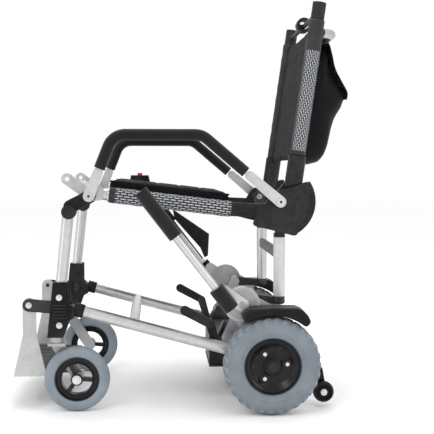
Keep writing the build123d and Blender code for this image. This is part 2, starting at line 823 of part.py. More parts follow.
# arm loops: flat bars with eyes, a core tube and the foam around it
arm_path = ((-199.0, 568.0), (-168.0, 646.0), (36.0, 646.0), (137.0, 560.0))
arm_corner_r = 42.0
arm_core_r = 8.0
foam_r = 13.0
bar_thick = 7.0
arm_plane, _ = run(arm_path[0], arm_path[1], arm_half_width)
with BuildPart() as arm_frames:
    for eye, foam_end in ((knee_pivot, arm_path[0]), (hip_pivot, arm_path[3])):
        with BuildSketch(side(arm_half_width - bar_thick / 2)):
            with Locations(eye):
                Circle(13)
            with Locations(between(foam_end, eye, 0.12)):
                Circle(11)
            make_hull()
            with Locations(eye):
                Circle(pivot_bolt_r, mode=Mode.SUBTRACT)
        extrude(amount=bar_thick)
    with BuildLine() as core_path:
        FilletPolyline(*[(x, -arm_half_width, z) for x, z in arm_path], radius=arm_corner_r)
    with BuildSketch(arm_plane):
        Circle(arm_core_r)
    sweep(path=core_path.wires()[0])
    mirror(about=Plane.XZ)
arm_frames.part.label = "arm_frames"
export_step(arm_frames.part, "parts/arm_frames.step")

with BuildPart() as arm_pads:
    with BuildLine() as foam_path:
        FilletPolyline(*[(x, -arm_half_width, z) for x, z in arm_path], radius=arm_corner_r)
    with BuildSketch(arm_plane):
        Circle(foam_r)
        Circle(arm_core_r + loose_gap, mode=Mode.SUBTRACT)
    sweep(path=foam_path.wires()[0])
    for eye, foam_end in ((knee_pivot, arm_path[0]), (hip_pivot, arm_path[3])):
        with BuildSketch(side(arm_half_width - bar_thick / 2 - loose_gap)):
            with Locations(eye):
                Circle(13 + loose_gap)
            with Locations(between(foam_end, eye, 0.12)):
                Circle(11 + loose_gap)
            make_hull()
        extrude(amount=bar_thick + 2 * loose_gap, mode=Mode.SUBTRACT)
    mirror(about=Plane.XZ)
arm_pads.part.label = "arm_pads"
export_step(arm_pads.part, "parts/arm_pads.step")

# seat sling with its cushion, carried between the rails, just over their centre line
sling_low = 13.0
sling_half_width = frame_half_width - math.sqrt(cover_r**2 - sling_low**2) - 0.5
sling_thick = 21.0
sling_plane = Plane(
    origin=(seat_front[0], 0, seat_front[1]),
    x_dir=(seat_rear[0] - seat_front[0], 0, seat_rear[1] - seat_front[1]),
    z_dir=(seat_front[1] - seat_rear[1], 0, seat_rear[0] - seat_front[0]),
)
with BuildPart() as seat_sling:
    with BuildSketch(sling_plane.offset(sling_low)):
        with Locations((4, 0)):
            Rectangle(seat_length - 4, 2 * sling_half_width, align=(Align.MIN, Align.CENTER))
    extrude(amount=sling_thick)
    fillet(seat_sling.edges().filter_by(Axis.Y), 6)
seat_sling.part.label = "seat_sling"
export_step(seat_sling.part, "parts/seat_sling.step")

# pivot bolts, with the spacers that stand the arms off the rails
bolt_head_r = 8.0
arm_outer = arm_half_width + bar_thick / 2
arm_inner = arm_half_width - bar_thick / 2
back_ear_inner = 199.0
back_ear_thick = 13.0
with BuildPart() as pivot_bolts:
    for centre, inner, spacers in (
        (knee_pivot, link_inner - 4, ((frame_half_width + 13 + side_gap, arm_inner),)),
        (hip_pivot, head_inner - 5, ((head_inner + head_thick + side_gap, back_ear_inner - side_gap),
                                     (sector_inner + sector_thick, arm_inner))),
    ):
        with BuildSketch(side(inner)):
            with Locations(centre):
                Circle(pivot_bolt_r)
        extrude(amount=arm_outer - inner)
        with BuildSketch(side(inner)):
            with Locations(centre):
                Circle(bolt_head_r)
        extrude(amount=3.5)
        with BuildSketch(side(arm_outer)):
            with Locations(centre):
                Circle(bolt_head_r)
        extrude(amount=5)
        for low, high in spacers:
            with BuildSketch(side(low)):
                with Locations(centre):
                    Circle(bolt_head_r + 2)
            extrude(amount=high - low)
    mirror(about=Plane.XZ)
pivot_bolts.part.label = "pivot_bolts"
export_step(pivot_bolts.part, "parts/pivot_bolts.step")

# ============ folding back ============
post_low = (258.0, 561.0)
post_high = (310.0, 927.0)
socket_low = between(post_low, post_high, -0.118)
socket_high = between(post_low, post_high, 0.10)
cap_high = between(post_low, post_high, 1.08)
cap_low = between(post_low, post_high, 0.97)
socket_r = 21.0
post_plane, post_length = run(post_low, post_high, frame_half_width)
socket_plane, socket_length = run(socket_low, socket_high, frame_half_width)
cap_plane, cap_length = run(cap_low, cap_high, frame_half_width)
cover_plane, cover_length = run(socket_high, cap_low, frame_half_width)
socket_bore, socket_depth = run(between(post_low, post_high, -0.02), cap_high, frame_half_width)
with BuildPart() as back_posts:
    with BuildSketch(socket_bore):
        Circle(tube_r)
    extrude(amount=post_length)
    mirror(about=Plane.XZ)
back_posts.part.label = "back_posts"
export_step(back_posts.part, "parts/back_posts.step")

with BuildPart() as back_castings:
    with BuildSketch(socket_plane):
        Circle(socket_r)
    extrude(amount=socket_length)
    with BuildSketch(side(back_ear_inner)):
        with Locations(hip_pivot):
            Circle(18)
        with Locations(between(socket_low, socket_high, 0.2)):
            Circle(17)
        make_hull()
    extrude(amount=back_ear_thick)
    with BuildSketch(cap_plane):
        Circle(cover_r - 2.5)
    extrude(amount=cap_length)
    with BuildSketch(socket_bore):
        Circle(tube_r)
    extrude(amount=post_length, mode=Mode.SUBTRACT)
    with BuildSketch(side(back_ear_inner - 1)):
        with Locations(hip_pivot):
            Circle(pivot_bolt_r + pin_gap)
    extrude(amount=back_ear_thick + 2, mode=Mode.SUBTRACT)
    with BuildSketch(side(sector_inner - side_gap)):
        with Locations(hip_pivot):
            Circle(30)
        with Locations(ear_high):
            Circle(11)
        make_hull()
    extrude(amount=40, mode=Mode.SUBTRACT)
    mirror(about=Plane.XZ)
back_castings.part.label = "back_castings"
export_step(back_castings.part, "parts/back_castings.step")

with BuildPart() as post_covers:
    with BuildSketch(cover_plane.offset(loose_gap)):
        Circle(cover_r)
        Circle(cover_bore_r, mode=Mode.SUBTRACT)
    extrude(amount=cover_length - 2 * loose_gap)
    mirror(about=Plane.XZ)
post_covers.part.label = "post_covers"
export_step(post_covers.part, "parts/post_covers.step")

back_dir = Vector(post_high[0] - post_low[0], 0, post_high[1] - post_low[1])
back_plane = Plane(
    origin=(post_low[0], 0, post_low[1]),
    x_dir=(0, 1, 0),
    z_dir=(-back_dir.Z, 0, back_dir.X),
)
back_sling_thick = 12.0
back_sling_half_width = frame_half_width - socket_r - loose_gap
back_top = 352.0
back_bottom = 20.0
with BuildPart() as back_sling:
    with BuildSketch(back_plane.offset(-back_sling_thick / 2)):
        with Locations((0, -back_bottom)):
            Rectangle(2 * back_sling_half_width, back_top - back_bottom, align=(Align.CENTER, Align.MAX))
    extrude(amount=back_sling_thick)
back_sling.part.label = "back_sling"
export_step(back_sling.part, "parts/back_sling.step")

# push bar, bent rearward from both posts
push_z = 888.0
push_x = 349.0
push_r = 12.0
push_side = 178.0
push_start = (320.8, 199.6)
with BuildPart() as push_bar:
    with BuildLine() as push_path:
        FilletPolyline(
            (push_start[0], -push_start[1], push_z),
            (push_x, -push_side, push_z),
            (push_x, push_side, push_z),
            (push_start[0], push_start[1], push_z),
            radius=26,
        )
    push_dir = (push_x - push_start[0], push_start[1] - push_side, 0)
    with BuildSketch(Plane(origin=(push_start[0], -push_start[1], push_z), z_dir=push_dir)):
        Circle(push_r)
    sweep(path=push_path.wires()[0])
push_bar.part.label = "push_bar"
export_step(push_bar.part, "parts/push_bar.step")

# fold hook at the middle of a stay bar between the post caps
stay_at = between(post_low, post_high, 1.015)
with BuildPart() as fold_hook:
    with BuildSketch(Plane.XZ.offset(-(frame_half_width - cover_r + 2.5 - loose_gap))):
        with Locations(stay_at):
            Circle(6)
    extrude(amount=2 * (frame_half_width - cover_r + 2.5 - loose_gap))
    with BuildSketch(Plane.XZ.offset(-13)):
        with Locations((stay_at[0], stay_at[1] + 4)):
            Circle(19)
            Circle(11, mode=Mode.SUBTRACT)
            Rectangle(30, 12, align=(Align.MIN, Align.CENTER), mode=Mode.SUBTRACT)
        with Locations((stay_at[0] - 6, stay_at[1])):
            Rectangle(16, 10)
    extrude(amount=26)
fold_hook.part.label = "fold_hook"
export_step(fold_hook.part, "parts/fold_hook.step")

bag_half_width = 120.0
with BuildPart() as back_bag:
    with BuildSketch(Plane.XZ.offset(-bag_half_width)):
        with BuildLine():
            Polyline(
                (277, 600), (314, 866), (340, push_z - push_r - loose_gap),
                (356, push_z - push_r - loose_gap), (366, 800), (407, 751),
                (378, 705), (356, 610), (334, 578), (296, 578),
                close=True,
            )
        make_face()
    extrude(amount=2 * bag_half_width)
back_bag.part.label = "back_bag"
export_step(back_bag.part, "parts/back_bag.step")

# ============ steering levers ============
lever_foot = (102.0, 248.0)
lever_socket_top = (70.0, 298.0)
grip_low = (-25.0, 414.0)
grip_high = (-102.0, 513.0)
socket_len_r = 18.0
shaft_r = 9.5
grip_r = 16.5
mount_inner = disc_outer + side_gap
mount_thick = 7.0
lever_plane, lever_length = run(lever_foot, grip_high, lever_half_width)
socket_out = math.dist(lever_foot, lever_socket_top)
grip_from = math.dist(lever_foot, grip_low)
for hand, name in rim_names.items():
    with BuildPart() as lever_shaft:
        with BuildSketch(lever_plane.offset(socket_out)):
            Circle(shaft_r)
        extrude(amount=lever_length - socket_out)
        with BuildSketch(side(mount_inner)):
            with Locations(steer_pivot):
                Circle(16)
            with Locations((86, 284)):
                Circle(14)
            make_hull()
            with Locations(steer_pivot):
                Circle(steer_pin_r + pin_gap, mode=Mode.SUBTRACT)
        extrude(amount=mount_thick)
        if hand > 0:
            mirror(about=Plane.XZ, mode=Mode.REPLACE)
    lever_shaft.part.label = "lever_shaft_" + name
    export_step(lever_shaft.part, "parts/lever_shaft_" + name + ".step")
    with BuildPart() as lever_grip:
        with BuildSketch(lever_plane):
            Circle(socket_len_r)
        extrude(amount=socket_out)
        with BuildSketch(side(mount_inner + mount_thick)):
            with Locations((90, 272)):
                Circle(11)
        extrude(amount=lever_half_width - mount_inner - mount_thick)
        with BuildSketch(lever_plane.offset(grip_from)):
            Circle(grip_r)
            Circle(shaft_r, mode=Mode.SUBTRACT)
        extrude(amount=lever_length - grip_from)
        if hand < 0:
            with BuildSketch(lever_plane.offset(lever_length)):
                Circle(grip_r)
            extrude(amount=5)
        else:
            mirror(about=Plane.XZ, mode=Mode.REPLACE)
    lever_grip.part.label = "lever_grip_" + name
    export_step(lever_grip.part, "parts/lever_grip_" + name + ".step")

# driving controls on the right lever: the head with its button, and the box below it
head_centre = (-116.0, 540.0)
button_r = 7.0
pod_up = Vector(grip_high[0] - lever_foot[0], 0, grip_high[1] - lever_foot[1]).normalized()
pod_base = (grip_high[0], lever_half_width, grip_high[1])
with BuildPart() as control_pod:
    with BuildSketch(Plane(origin=pod_base, z_dir=pod_up)):
        Circle(14)
    extrude(amount=16)
    with BuildSketch(Plane.XY.offset(head_centre[1] - 14)):
        with Locations((head_centre[0], lever_half_width)):
            Ellipse(30.5, 16.5)
    extrude(amount=24, taper=12)
    with BuildSketch(Plane.XY.offset(head_centre[1] + 4)):
        with Locations((head_centre[0], lever_half_width)):
            Circle(button_r + pin_gap)
    extrude(amount=20, mode=Mode.SUBTRACT)
    with BuildSketch(Plane.XZ.offset(-(lever_half_width + 16))):
        with BuildLine():
            Polyline((-22, 452), (83, 380), (80, 318), (70, 312), (58, 340), (-16, 424), close=True)
        make_face()
    extrude(amount=32)
    with BuildSketch(Plane(origin=(lever_foot[0], lever_half_width, lever_foot[1]), z_dir=pod_up)):
        Circle(grip_r + loose_gap)
    extrude(amount=lever_length, mode=Mode.SUBTRACT)
control_pod.part.label = "control_pod"
export_step(control_pod.part, "parts/control_pod.step")

button_travel = 3.0
with BuildPart() as stop_button:
    with BuildSketch(Plane.XY.offset(head_centre[1] + 4 + button_travel + side_gap)):
        with Locations((head_centre[0], lever_half_width)):
            Circle(button_r)
    extrude(amount=9)
stop_button.part.label = "stop_button"
export_step(stop_button.part, "parts/stop_button.step")
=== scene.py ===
import bmesh
import bpy
import json
import math
from mathutils import Matrix, Vector, noise


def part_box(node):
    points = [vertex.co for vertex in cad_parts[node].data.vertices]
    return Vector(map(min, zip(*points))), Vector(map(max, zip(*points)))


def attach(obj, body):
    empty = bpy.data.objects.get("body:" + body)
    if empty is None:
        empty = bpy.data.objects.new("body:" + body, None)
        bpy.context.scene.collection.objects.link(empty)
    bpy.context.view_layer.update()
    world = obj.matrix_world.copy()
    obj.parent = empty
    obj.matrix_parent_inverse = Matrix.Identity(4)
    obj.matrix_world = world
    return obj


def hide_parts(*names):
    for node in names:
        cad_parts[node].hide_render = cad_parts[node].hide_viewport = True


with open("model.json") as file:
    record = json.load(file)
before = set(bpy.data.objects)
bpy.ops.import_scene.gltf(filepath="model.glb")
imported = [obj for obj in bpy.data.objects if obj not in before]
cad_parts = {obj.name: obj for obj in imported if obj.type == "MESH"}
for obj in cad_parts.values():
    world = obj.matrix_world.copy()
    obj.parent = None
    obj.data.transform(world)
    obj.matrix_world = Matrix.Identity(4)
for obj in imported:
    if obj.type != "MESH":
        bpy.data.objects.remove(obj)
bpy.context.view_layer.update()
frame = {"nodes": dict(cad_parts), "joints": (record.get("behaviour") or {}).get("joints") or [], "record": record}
joints = {j["name"]: j for j in frame["joints"]}
slotOf = {s["node"]: s["material_slot"] for s in frame["record"]["subparts"]}
sides = {"left": -1, "right": 1}


def jointAt(name):
    return Vector(joints[name]["pos_m"])


def middle(node):
    low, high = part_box(node)
    return (Vector(low) + Vector(high)) / 2


def size(node):
    low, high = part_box(node)
    return Vector(high) - Vector(low)


# ---- shader groups ----
def newGroup(name, inputs, outputs):
    group = bpy.data.node_groups.new(name, "ShaderNodeTree")
    for label, kind, value in inputs:
        socket = group.interface.new_socket(name=label, in_out="INPUT", socket_type=kind)
        socket.default_value = value
    for label, kind in outputs:
        group.interface.new_socket(name=label, in_out="OUTPUT", socket_type=kind)
    start = group.nodes.new("NodeGroupInput")
    end = group.nodes.new("NodeGroupOutput")
    return group, start, end


def addNode(tree, kind, **values):
    node = tree.nodes.new(kind)
    for key, value in values.items():
        if hasattr(node, key):
            setattr(node, key, value)
        else:
            node.inputs[key].default_value = value
    return node


def mathNode(tree, operation, a, b=None):
    node = tree.nodes.new("ShaderNodeMath")
    node.operation = operation
    for place, value in ((0, a), (1, b)):
        if value is None:
            continue
        if isinstance(value, (int, float)):
            node.inputs[place].default_value = value
        else:
            tree.links.new(value, node.inputs[place])
    return node.outputs[0]


def makeGrainGroup():
    # fine moulded grain with slow blotches: height for a bump, blotch for colour and roughness
    group, start, end = newGroup(
        "surfaceGrain",
        [("Vector", "NodeSocketVector", (0, 0, 0)), ("Fine", "NodeSocketFloat", 900.0),
         ("Coarse", "NodeSocketFloat", 14.0)],
        [("Height", "NodeSocketFloat"), ("Blotch", "NodeSocketFloat")],
    )
    fine = addNode(group, "ShaderNodeTexNoise", Detail=3.0, Roughness=0.6)
    coarse = addNode(group, "ShaderNodeTexNoise", Detail=4.0, Roughness=0.55)
    for noise, scale in ((fine, "Fine"), (coarse, "Coarse")):
        group.links.new(start.outputs["Vector"], noise.inputs["Vector"])
        group.links.new(start.outputs[scale], noise.inputs["Scale"])
    group.links.new(fine.outputs["Fac"], end.inputs["Height"])
    group.links.new(coarse.outputs["Fac"], end.inputs["Blotch"])
    return group


def makeWearGroup():
    # rubbed edges from surface curvature, broken up by noise
    group, start, end = newGroup(
        "edgeWear",
        [("Vector", "NodeSocketVector", (0, 0, 0)), ("Amount", "NodeSocketFloat", 0.5)],
        [("Mask", "NodeSocketFloat")],
    )
    geometry = group.nodes.new("ShaderNodeNewGeometry")
    edge = addNode(group, "ShaderNodeMapRange")
    edge.inputs["From Min"].default_value = 0.52
    edge.inputs["From Max"].default_value = 0.62
    group.links.new(geometry.outputs["Pointiness"], edge.inputs["Value"])
    noise = addNode(group, "ShaderNodeTexNoise", Scale=70.0, Detail=5.0)
    group.links.new(start.outputs["Vector"], noise.inputs["Vector"])
    patch = mathNode(group, "MULTIPLY", edge.outputs["Result"], noise.outputs["Fac"])
    mask = mathNode(group, "MULTIPLY", patch, start.outputs["Amount"])
    group.links.new(mask, end.inputs["Mask"])
    return group


def makeWeaveGroup():
    # plain weave: two crossed thread waves; height for a bump and a thread mask for colour
    group, start, end = newGroup(
        "clothWeave",
        [("Vector", "NodeSocketVector", (0, 0, 0)), ("Threads", "NodeSocketFloat", 700.0)],
        [("Height", "NodeSocketFloat"), ("Thread", "NodeSocketFloat")],
    )
    scaled = addNode(group, "ShaderNodeVectorMath", operation="SCALE")
    group.links.new(start.outputs["Vector"], scaled.inputs[0])
    group.links.new(start.outputs["Threads"], scaled.inputs["Scale"])
    split = group.nodes.new("ShaderNodeSeparateXYZ")
    group.links.new(scaled.outputs[0], split.inputs[0])
    warp = mathNode(group, "SINE", split.outputs["X"])
    weft = mathNode(group, "SINE", split.outputs["Y"])
    rise = mathNode(group, "SINE", split.outputs["Z"])
    cross = mathNode(group, "MULTIPLY", warp, weft)
    height = mathNode(group, "ADD", cross, mathNode(group, "MULTIPLY", rise, 0.5))
    group.links.new(height, end.inputs["Height"])
    mask = addNode(group, "ShaderNodeMapRange")
    mask.inputs["From Min"].default_value = -1.0
    group.links.new(cross, mask.inputs["Value"])
    group.links.new(mask.outputs["Result"], end.inputs["Thread"])
    return group


grainGroup = makeGrainGroup()
wearGroup = makeWearGroup()
weaveGroup = makeWeaveGroup()


def placeGroup(tree, group, vector, **values):
    node = tree.nodes.new("ShaderNodeGroup")
    node.node_tree = group
    tree.links.new(vector, node.inputs["Vector"])
    for key, value in values.items():
        node.inputs[key].default_value = value
    return node


def ramp(tree, source, stops):
    node = tree.nodes.new("ShaderNodeValToRGB")
    elements = node.color_ramp.elements
    while len(elements) < len(stops):
        elements.new(0.5)
    for element, (place, color) in zip(elements, stops):
        element.position = place
        element.color = (*color, 1)
    tree.links.new(source, node.inputs["Fac"])
    return node.outputs["Color"]


def spread(tree, source, low, high):
    node = tree.nodes.new("ShaderNodeMapRange")
    node.inputs["From Min"].default_value = 0.3
    node.inputs["From Max"].default_value = 0.7
    node.inputs["To Min"].default_value = low
    node.inputs["To Max"].default_value = high
    tree.links.new(source, node.inputs["Value"])
    return node.outputs["Result"]


def mixColor(tree, mask, a, b):
    node = tree.nodes.new("ShaderNodeMix")
    node.data_type = "RGBA"
    tree.links.new(mask, node.inputs["Factor"])
    for place, value in ((6, a), (7, b)):
        if isinstance(value, tuple):
            node.inputs[place].default_value = (*value, 1)
        else:
            tree.links.new(value, node.inputs[place])
    return node.outputs[2]


def surface(name, dark, light, roughness, metallic=0.0, fine=900.0, coarse=14.0, bump=0.15,
            wear=0.4, wornColor=(0.3, 0.3, 0.3), stretch=(1, 1, 1), coat=0.0, sheen=0.0):
    # a hard material: blotched colour, grain bump, rubbed edges
    material = bpy.data.materials.new(name)
    material.use_nodes = True
    tree = material.node_tree
    shader = tree.nodes["Principled BSDF"]
    coords = tree.nodes.new("ShaderNodeTexCoord")
    mapping = tree.nodes.new("ShaderNodeMapping")
    mapping.inputs["Scale"].default_value = stretch
    tree.links.new(coords.outputs["Object"], mapping.inputs["Vector"])
    grain = placeGroup(tree, grainGroup, mapping.outputs["Vector"], Fine=fine, Coarse=coarse)
    worn = placeGroup(tree, wearGroup, coords.outputs["Object"], Amount=wear)
    base = ramp(tree, grain.outputs["Blotch"], [(0.3, dark), (0.7, light)])
    tree.links.new(mixColor(tree, worn.outputs["Mask"], base, wornColor), shader.inputs["Base Color"])
    tree.links.new(spread(tree, grain.outputs["Blotch"], *roughness), shader.inputs["Roughness"])
    bumpNode = addNode(tree, "ShaderNodeBump", Strength=bump, Distance=0.0004)
    tree.links.new(grain.outputs["Height"], bumpNode.inputs["Height"])
    tree.links.new(bumpNode.outputs["Normal"], shader.inputs["Normal"])
    shader.inputs["Metallic"].default_value = metallic
    shader.inputs["Specular IOR Level"].default_value = 0.5 if metallic > 0.3 else 0.14
    shader.inputs["Coat Weight"].default_value = coat
    shader.inputs["Sheen Weight"].default_value = sheen
    return material


def cloth(name, dark, light, threads=900.0, bump=0.4, sheen=0.03, rough=(0.75, 0.95), byMap=False):
    material = bpy.data.materials.new(name)
    material.use_nodes = True
    tree = material.node_tree
    shader = tree.nodes["Principled BSDF"]
    coords = tree.nodes.new("ShaderNodeTexCoord")
    weave = placeGroup(tree, weaveGroup, coords.outputs["UV" if byMap else "Object"], Threads=threads)
    grain = placeGroup(tree, grainGroup, coords.outputs["Object"], Fine=350.0, Coarse=9.0)
    woven = ramp(tree, weave.outputs["Thread"], [(0.35, dark), (0.65, light)])
    faded = ramp(tree, grain.outputs["Blotch"], [(0.35, dark), (0.7, light)])
    tree.links.new(mixColor(tree, grain.outputs["Blotch"], woven, faded), shader.inputs["Base Color"])
    tree.links.new(spread(tree, grain.outputs["Blotch"], *rough), shader.inputs["Roughness"])
    height = mathNode(tree, "ADD", weave.outputs["Height"], grain.outputs["Height"])
    bumpNode = addNode(tree, "ShaderNodeBump", Strength=bump, Distance=0.0005)
    tree.links.new(height, bumpNode.inputs["Height"])
    tree.links.new(bumpNode.outputs["Normal"], shader.inputs["Normal"])
    shader.inputs["Sheen Weight"].default_value = sheen
    shader.inputs["Sheen Roughness"].default_value = 0.4
    shader.inputs["Specular IOR Level"].default_value = 0.1
    return material


sleeve = {"dash": 0.0165, "row": 0.0061, "gap": 0.0021,
          "dark": (0.008, 0.008, 0.01), "light": (0.46, 0.48, 0.51)}


def meshSleeve(name):
    # open mesh over the sleeve: staggered light dashes on black knit, laid out on the sleeve's own map
    material = bpy.data.materials.new(name)
    material.use_nodes = True
    tree = material.node_tree
    shader = tree.nodes["Principled BSDF"]
    coords = tree.nodes.new("ShaderNodeTexCoord")
    brick = tree.nodes.new("ShaderNodeTexBrick")
    brick.offset = 0.5
    brick.inputs["Scale"].default_value = 1.0
    brick.inputs["Brick Width"].default_value = sleeve["dash"]
    brick.inputs["Row Height"].default_value = sleeve["row"]
    brick.inputs["Mortar Size"].default_value = sleeve["gap"]
    brick.inputs["Mortar Smooth"].default_value = 0.3
    brick.inputs["Color1"].default_value = (*sleeve["light"], 1)
    brick.inputs["Color2"].default_value = (*sleeve["light"], 1)
    brick.inputs["Mortar"].default_value = (*sleeve["dark"], 1)
    tree.links.new(coords.outputs["UV"], brick.inputs["Vector"])
    band = tree.nodes.new("ShaderNodeAttribute")
    band.attribute_name = "meshBand"
    tree.links.new(mixColor(tree, band.outputs["Fac"], sleeve["dark"], brick.outputs["Color"]),
                   shader.inputs["Base Color"])
    grain = placeGroup(tree, grainGroup, coords.outputs["Object"], Fine=1200.0, Coarse=20.0)
    tree.links.new(spread(tree, grain.outputs["Blotch"], 0.5, 0.75), shader.inputs["Roughness"])
    lift = mathNode(tree, "ADD", mathNode(tree, "MULTIPLY", brick.outputs["Fac"], 2.0),
                    grain.outputs["Height"])
    bumpNode = addNode(tree, "ShaderNodeBump", Strength=0.5, Distance=0.0006)
    tree.links.new(lift, bumpNode.inputs["Height"])
    tree.links.new(bumpNode.outputs["Normal"], shader.inputs["Normal"])
    shader.inputs["Sheen Weight"].default_value = 0.03
    return material


black = (0.0035, 0.0035, 0.0042)
soot = (0.009, 0.009, 0.0105)
paint = {
    "silver_tube": surface("anodisedTube", (0.4, 0.405, 0.41), (0.52, 0.525, 0.53), (0.26, 0.4),
                           metallic=0.85, fine=500.0, coarse=6.0, bump=0.05,
                           wornColor=(0.9, 0.9, 0.9), stretch=(1, 1, 0.15)),
    "cast_silver": surface("castSilver", (0.3, 0.3, 0.305), (0.44, 0.44, 0.445), (0.34, 0.5), metallic=0.7,
                           fine=700.0, coarse=18.0, bump=0.2, wornColor=(0.85, 0.85, 0.85)),
    "black_plastic": surface("mouldedBlack", black, soot, (0.36, 0.52), fine=1500.0, coarse=20.0, bump=0.25,
                             wornColor=(0.09, 0.09, 0.095)),
    "black_metal": surface("powderBlack", black, soot, (0.3, 0.46), metallic=0.15, fine=1100.0, coarse=12.0,
                           bump=0.3, wornColor=(0.2, 0.2, 0.2), coat=0.1),
    "grey_metal": surface("treadGrey", (0.045, 0.05, 0.055), (0.09, 0.095, 0.1), (0.45, 0.6), metallic=0.3,
                          fine=800.0, bump=0.35, wornColor=(0.35, 0.35, 0.36)),
    "steel": surface("platedSteel", (0.5, 0.5, 0.5), (0.68, 0.68, 0.67), (0.18, 0.32), metallic=0.95,
                     fine=1200.0, bump=0.05, wornColor=(0.8, 0.8, 0.8)),
    "drive_tyre": surface("greyRubber", (0.165, 0.19, 0.215), (0.215, 0.24, 0.27), (0.62, 0.82), fine=1300.0,
                          coarse=24.0, bump=0.35, wear=0.7, wornColor=(0.32, 0.35, 0.38)),
    "caster_tyre": surface("casterRubber", (0.19, 0.22, 0.25), (0.25, 0.285, 0.32), (0.6, 0.8), fine=1300.0,
                           coarse=24.0, bump=0.3, wear=0.6, wornColor=(0.36, 0.39, 0.42)),
    "rim": surface("rimBlack", (0.005, 0.005, 0.006), (0.014, 0.014, 0.016), (0.22, 0.36), fine=1400.0,
                   bump=0.12, wornColor=(0.08, 0.08, 0.08), coat=0.15),
    "foam": surface("closedFoam", (0.004, 0.004, 0.005), (0.009, 0.009, 0.0105), (0.6, 0.8), fine=1700.0,
                    coarse=30.0, bump=0.6, wear=0.2, wornColor=(0.05, 0.05, 0.05), sheen=0.2),
    "red_plastic": surface("redCap", (0.42, 0.01, 0.008), (0.6, 0.02, 0.014), (0.2, 0.34), fine=900.0,
                           bump=0.08, wornColor=(0.7, 0.2, 0.16), coat=0.4),
    "mesh_cover": meshSleeve("dashMesh"),
    "seat_fabric": cloth("seatWeave", (0.005, 0.005, 0.006), (0.016, 0.016, 0.018), threads=1500.0, bump=0.5),
    "bag_fabric": cloth("bagNylon", (0.004, 0.004, 0.005), (0.014, 0.014, 0.016), threads=1900.0, bump=0.3,
                        sheen=0.04, rough=(0.5, 0.75)),
}
for node, obj in frame["nodes"].items():
    obj.data.materials.clear()
    obj.data.materials.append(paint[slotOf[node]])
print("materials ready")


# ---- camera, light and floor ----
studio = {"camera": (-0.071, -2.315, 0.565), "yaw": 3.92, "pitch": 3.0, "lens": 74.4,
          "floor": 14.0}


def setStudio():
    camera = bpy.data.objects.new("camera", bpy.data.cameras.new("camera"))
    bpy.context.collection.objects.link(camera)
    camera.location = studio["camera"]
    camera.rotation_euler = (math.radians(90 - studio["pitch"]), 0, math.radians(-studio["yaw"]))
    camera.data.lens = studio["lens"]
    camera.data.sensor_width = 36
    bpy.context.scene.camera = camera
    lamps = {
        "key": ((-1.6, -2.6, 2.6), 26, 1.2), "fill": ((2.4, -2.2, 1.6), 12, 1.4),
        "back": ((0.6, 2.6, 2.4), 16, 1.6), "top": ((0, 0, 3.2), 18, 1.2), "low": ((-2.4, -1.2, 0.5), 4, 1.0),
    }
    for name, (place, power, span) in lamps.items():
        lamp = bpy.data.objects.new(name, bpy.data.lights.new(name, "AREA"))
        bpy.context.collection.objects.link(lamp)
        lamp.location = place
        lamp.rotation_euler = (Vector((0, 0, 0.45)) - Vector(place)).to_track_quat("-Z", "Y").to_euler()
        lamp.data.energy = power
        lamp.data.size = span
    world = bpy.data.worlds.new("studio")
    world.use_nodes = True
    world.node_tree.nodes["Background"].inputs["Color"].default_value = (1, 1, 1, 1)
    world.node_tree.nodes["Background"].inputs["Strength"].default_value = 1.0
    bpy.context.scene.view_settings.view_transform = "Standard"
    bpy.context.scene.world = world
    bm = bmesh.new()
    bmesh.ops.create_grid(bm, x_segments=2, y_segments=2, size=studio["floor"])
    bmesh.ops.translate(bm, verts=bm.verts, vec=(0, 0, -0.0005))
    mesh = bpy.data.meshes.new("floor")
    bm.to_mesh(mesh)
    bm.free()
    floor = bpy.data.objects.new("floor", mesh)
    bpy.context.collection.objects.link(floor)
    mesh.materials.append(surface("paleFloor", (0.97, 0.97, 0.97), (0.98, 0.98, 0.98), (0.8, 0.95), fine=40.0,
                                  bump=0.01, wear=0.0))


setStudio()
print("studio ready")


# ---- shared modelling helpers ----
def keepPiece(name, bm, body, slot, material=None, nodes=(), smooth=True, finish=()):
    mesh = bpy.data.meshes.new(name)
    bmesh.ops.recalc_face_normals(bm, faces=bm.faces)
    for face in bm.faces:
        face.smooth = smooth
    bm.to_mesh(mesh)
    bm.free()
    piece = bpy.data.objects.new(name, mesh)
    bpy.context.collection.objects.link(piece)
    mesh.materials.append(material or paint[slot])
    for kind, values in finish:
        modifier = piece.modifiers.new(kind.lower(), kind)
        for key, value in values.items():
            setattr(modifier, key, value)
    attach(piece, body)
    if nodes:
        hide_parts(*nodes)
    return piece


softEdge = ("BEVEL", {"width": 0.0012, "segments": 2, "limit_method": "ANGLE", "angle_limit": 0.7})
crease = ("EDGE_SPLIT", {"split_angle": 0.7})


def spun(profile, centre, steps):
    # turns a closed or open outline, (distance along Y, radius), round the wheel's axis
    bm = bmesh.new()
    verts = [bm.verts.new((centre[0], centre[1] + y, centre[2] + r)) for y, r in profile]
    edges = [bm.edges.new((a, b)) for a, b in zip(verts, verts[1:] + verts[:1])]
    bmesh.ops.spin(bm, geom=verts + edges, cent=centre, axis=(0, 1, 0), angle=math.tau, steps=steps,
                   use_merge=True, use_duplicate=False)
    bmesh.ops.remove_doubles(bm, verts=bm.verts, dist=0.00002)
    return bm


def addRod(bm, start, end, radius, sides=20, tip=None):
    start, end = Vector(start), Vector(end)
    turn = (end - start).to_track_quat("Z", "Y").to_matrix().to_4x4()
    bmesh.ops.create_cone(bm, cap_ends=True, segments=sides, radius1=radius, radius2=tip or radius,
                          depth=(end - start).length, matrix=Matrix.Translation((start + end) / 2) @ turn)


def addBlock(bm, centre, dims, turn=0.0):
    spin = Matrix.Rotation(turn, 4, "Y")
    scale = Matrix.Diagonal((*dims, 1))
    bmesh.ops.create_cube(bm, size=1, matrix=Matrix.Translation(centre) @ spin @ scale)


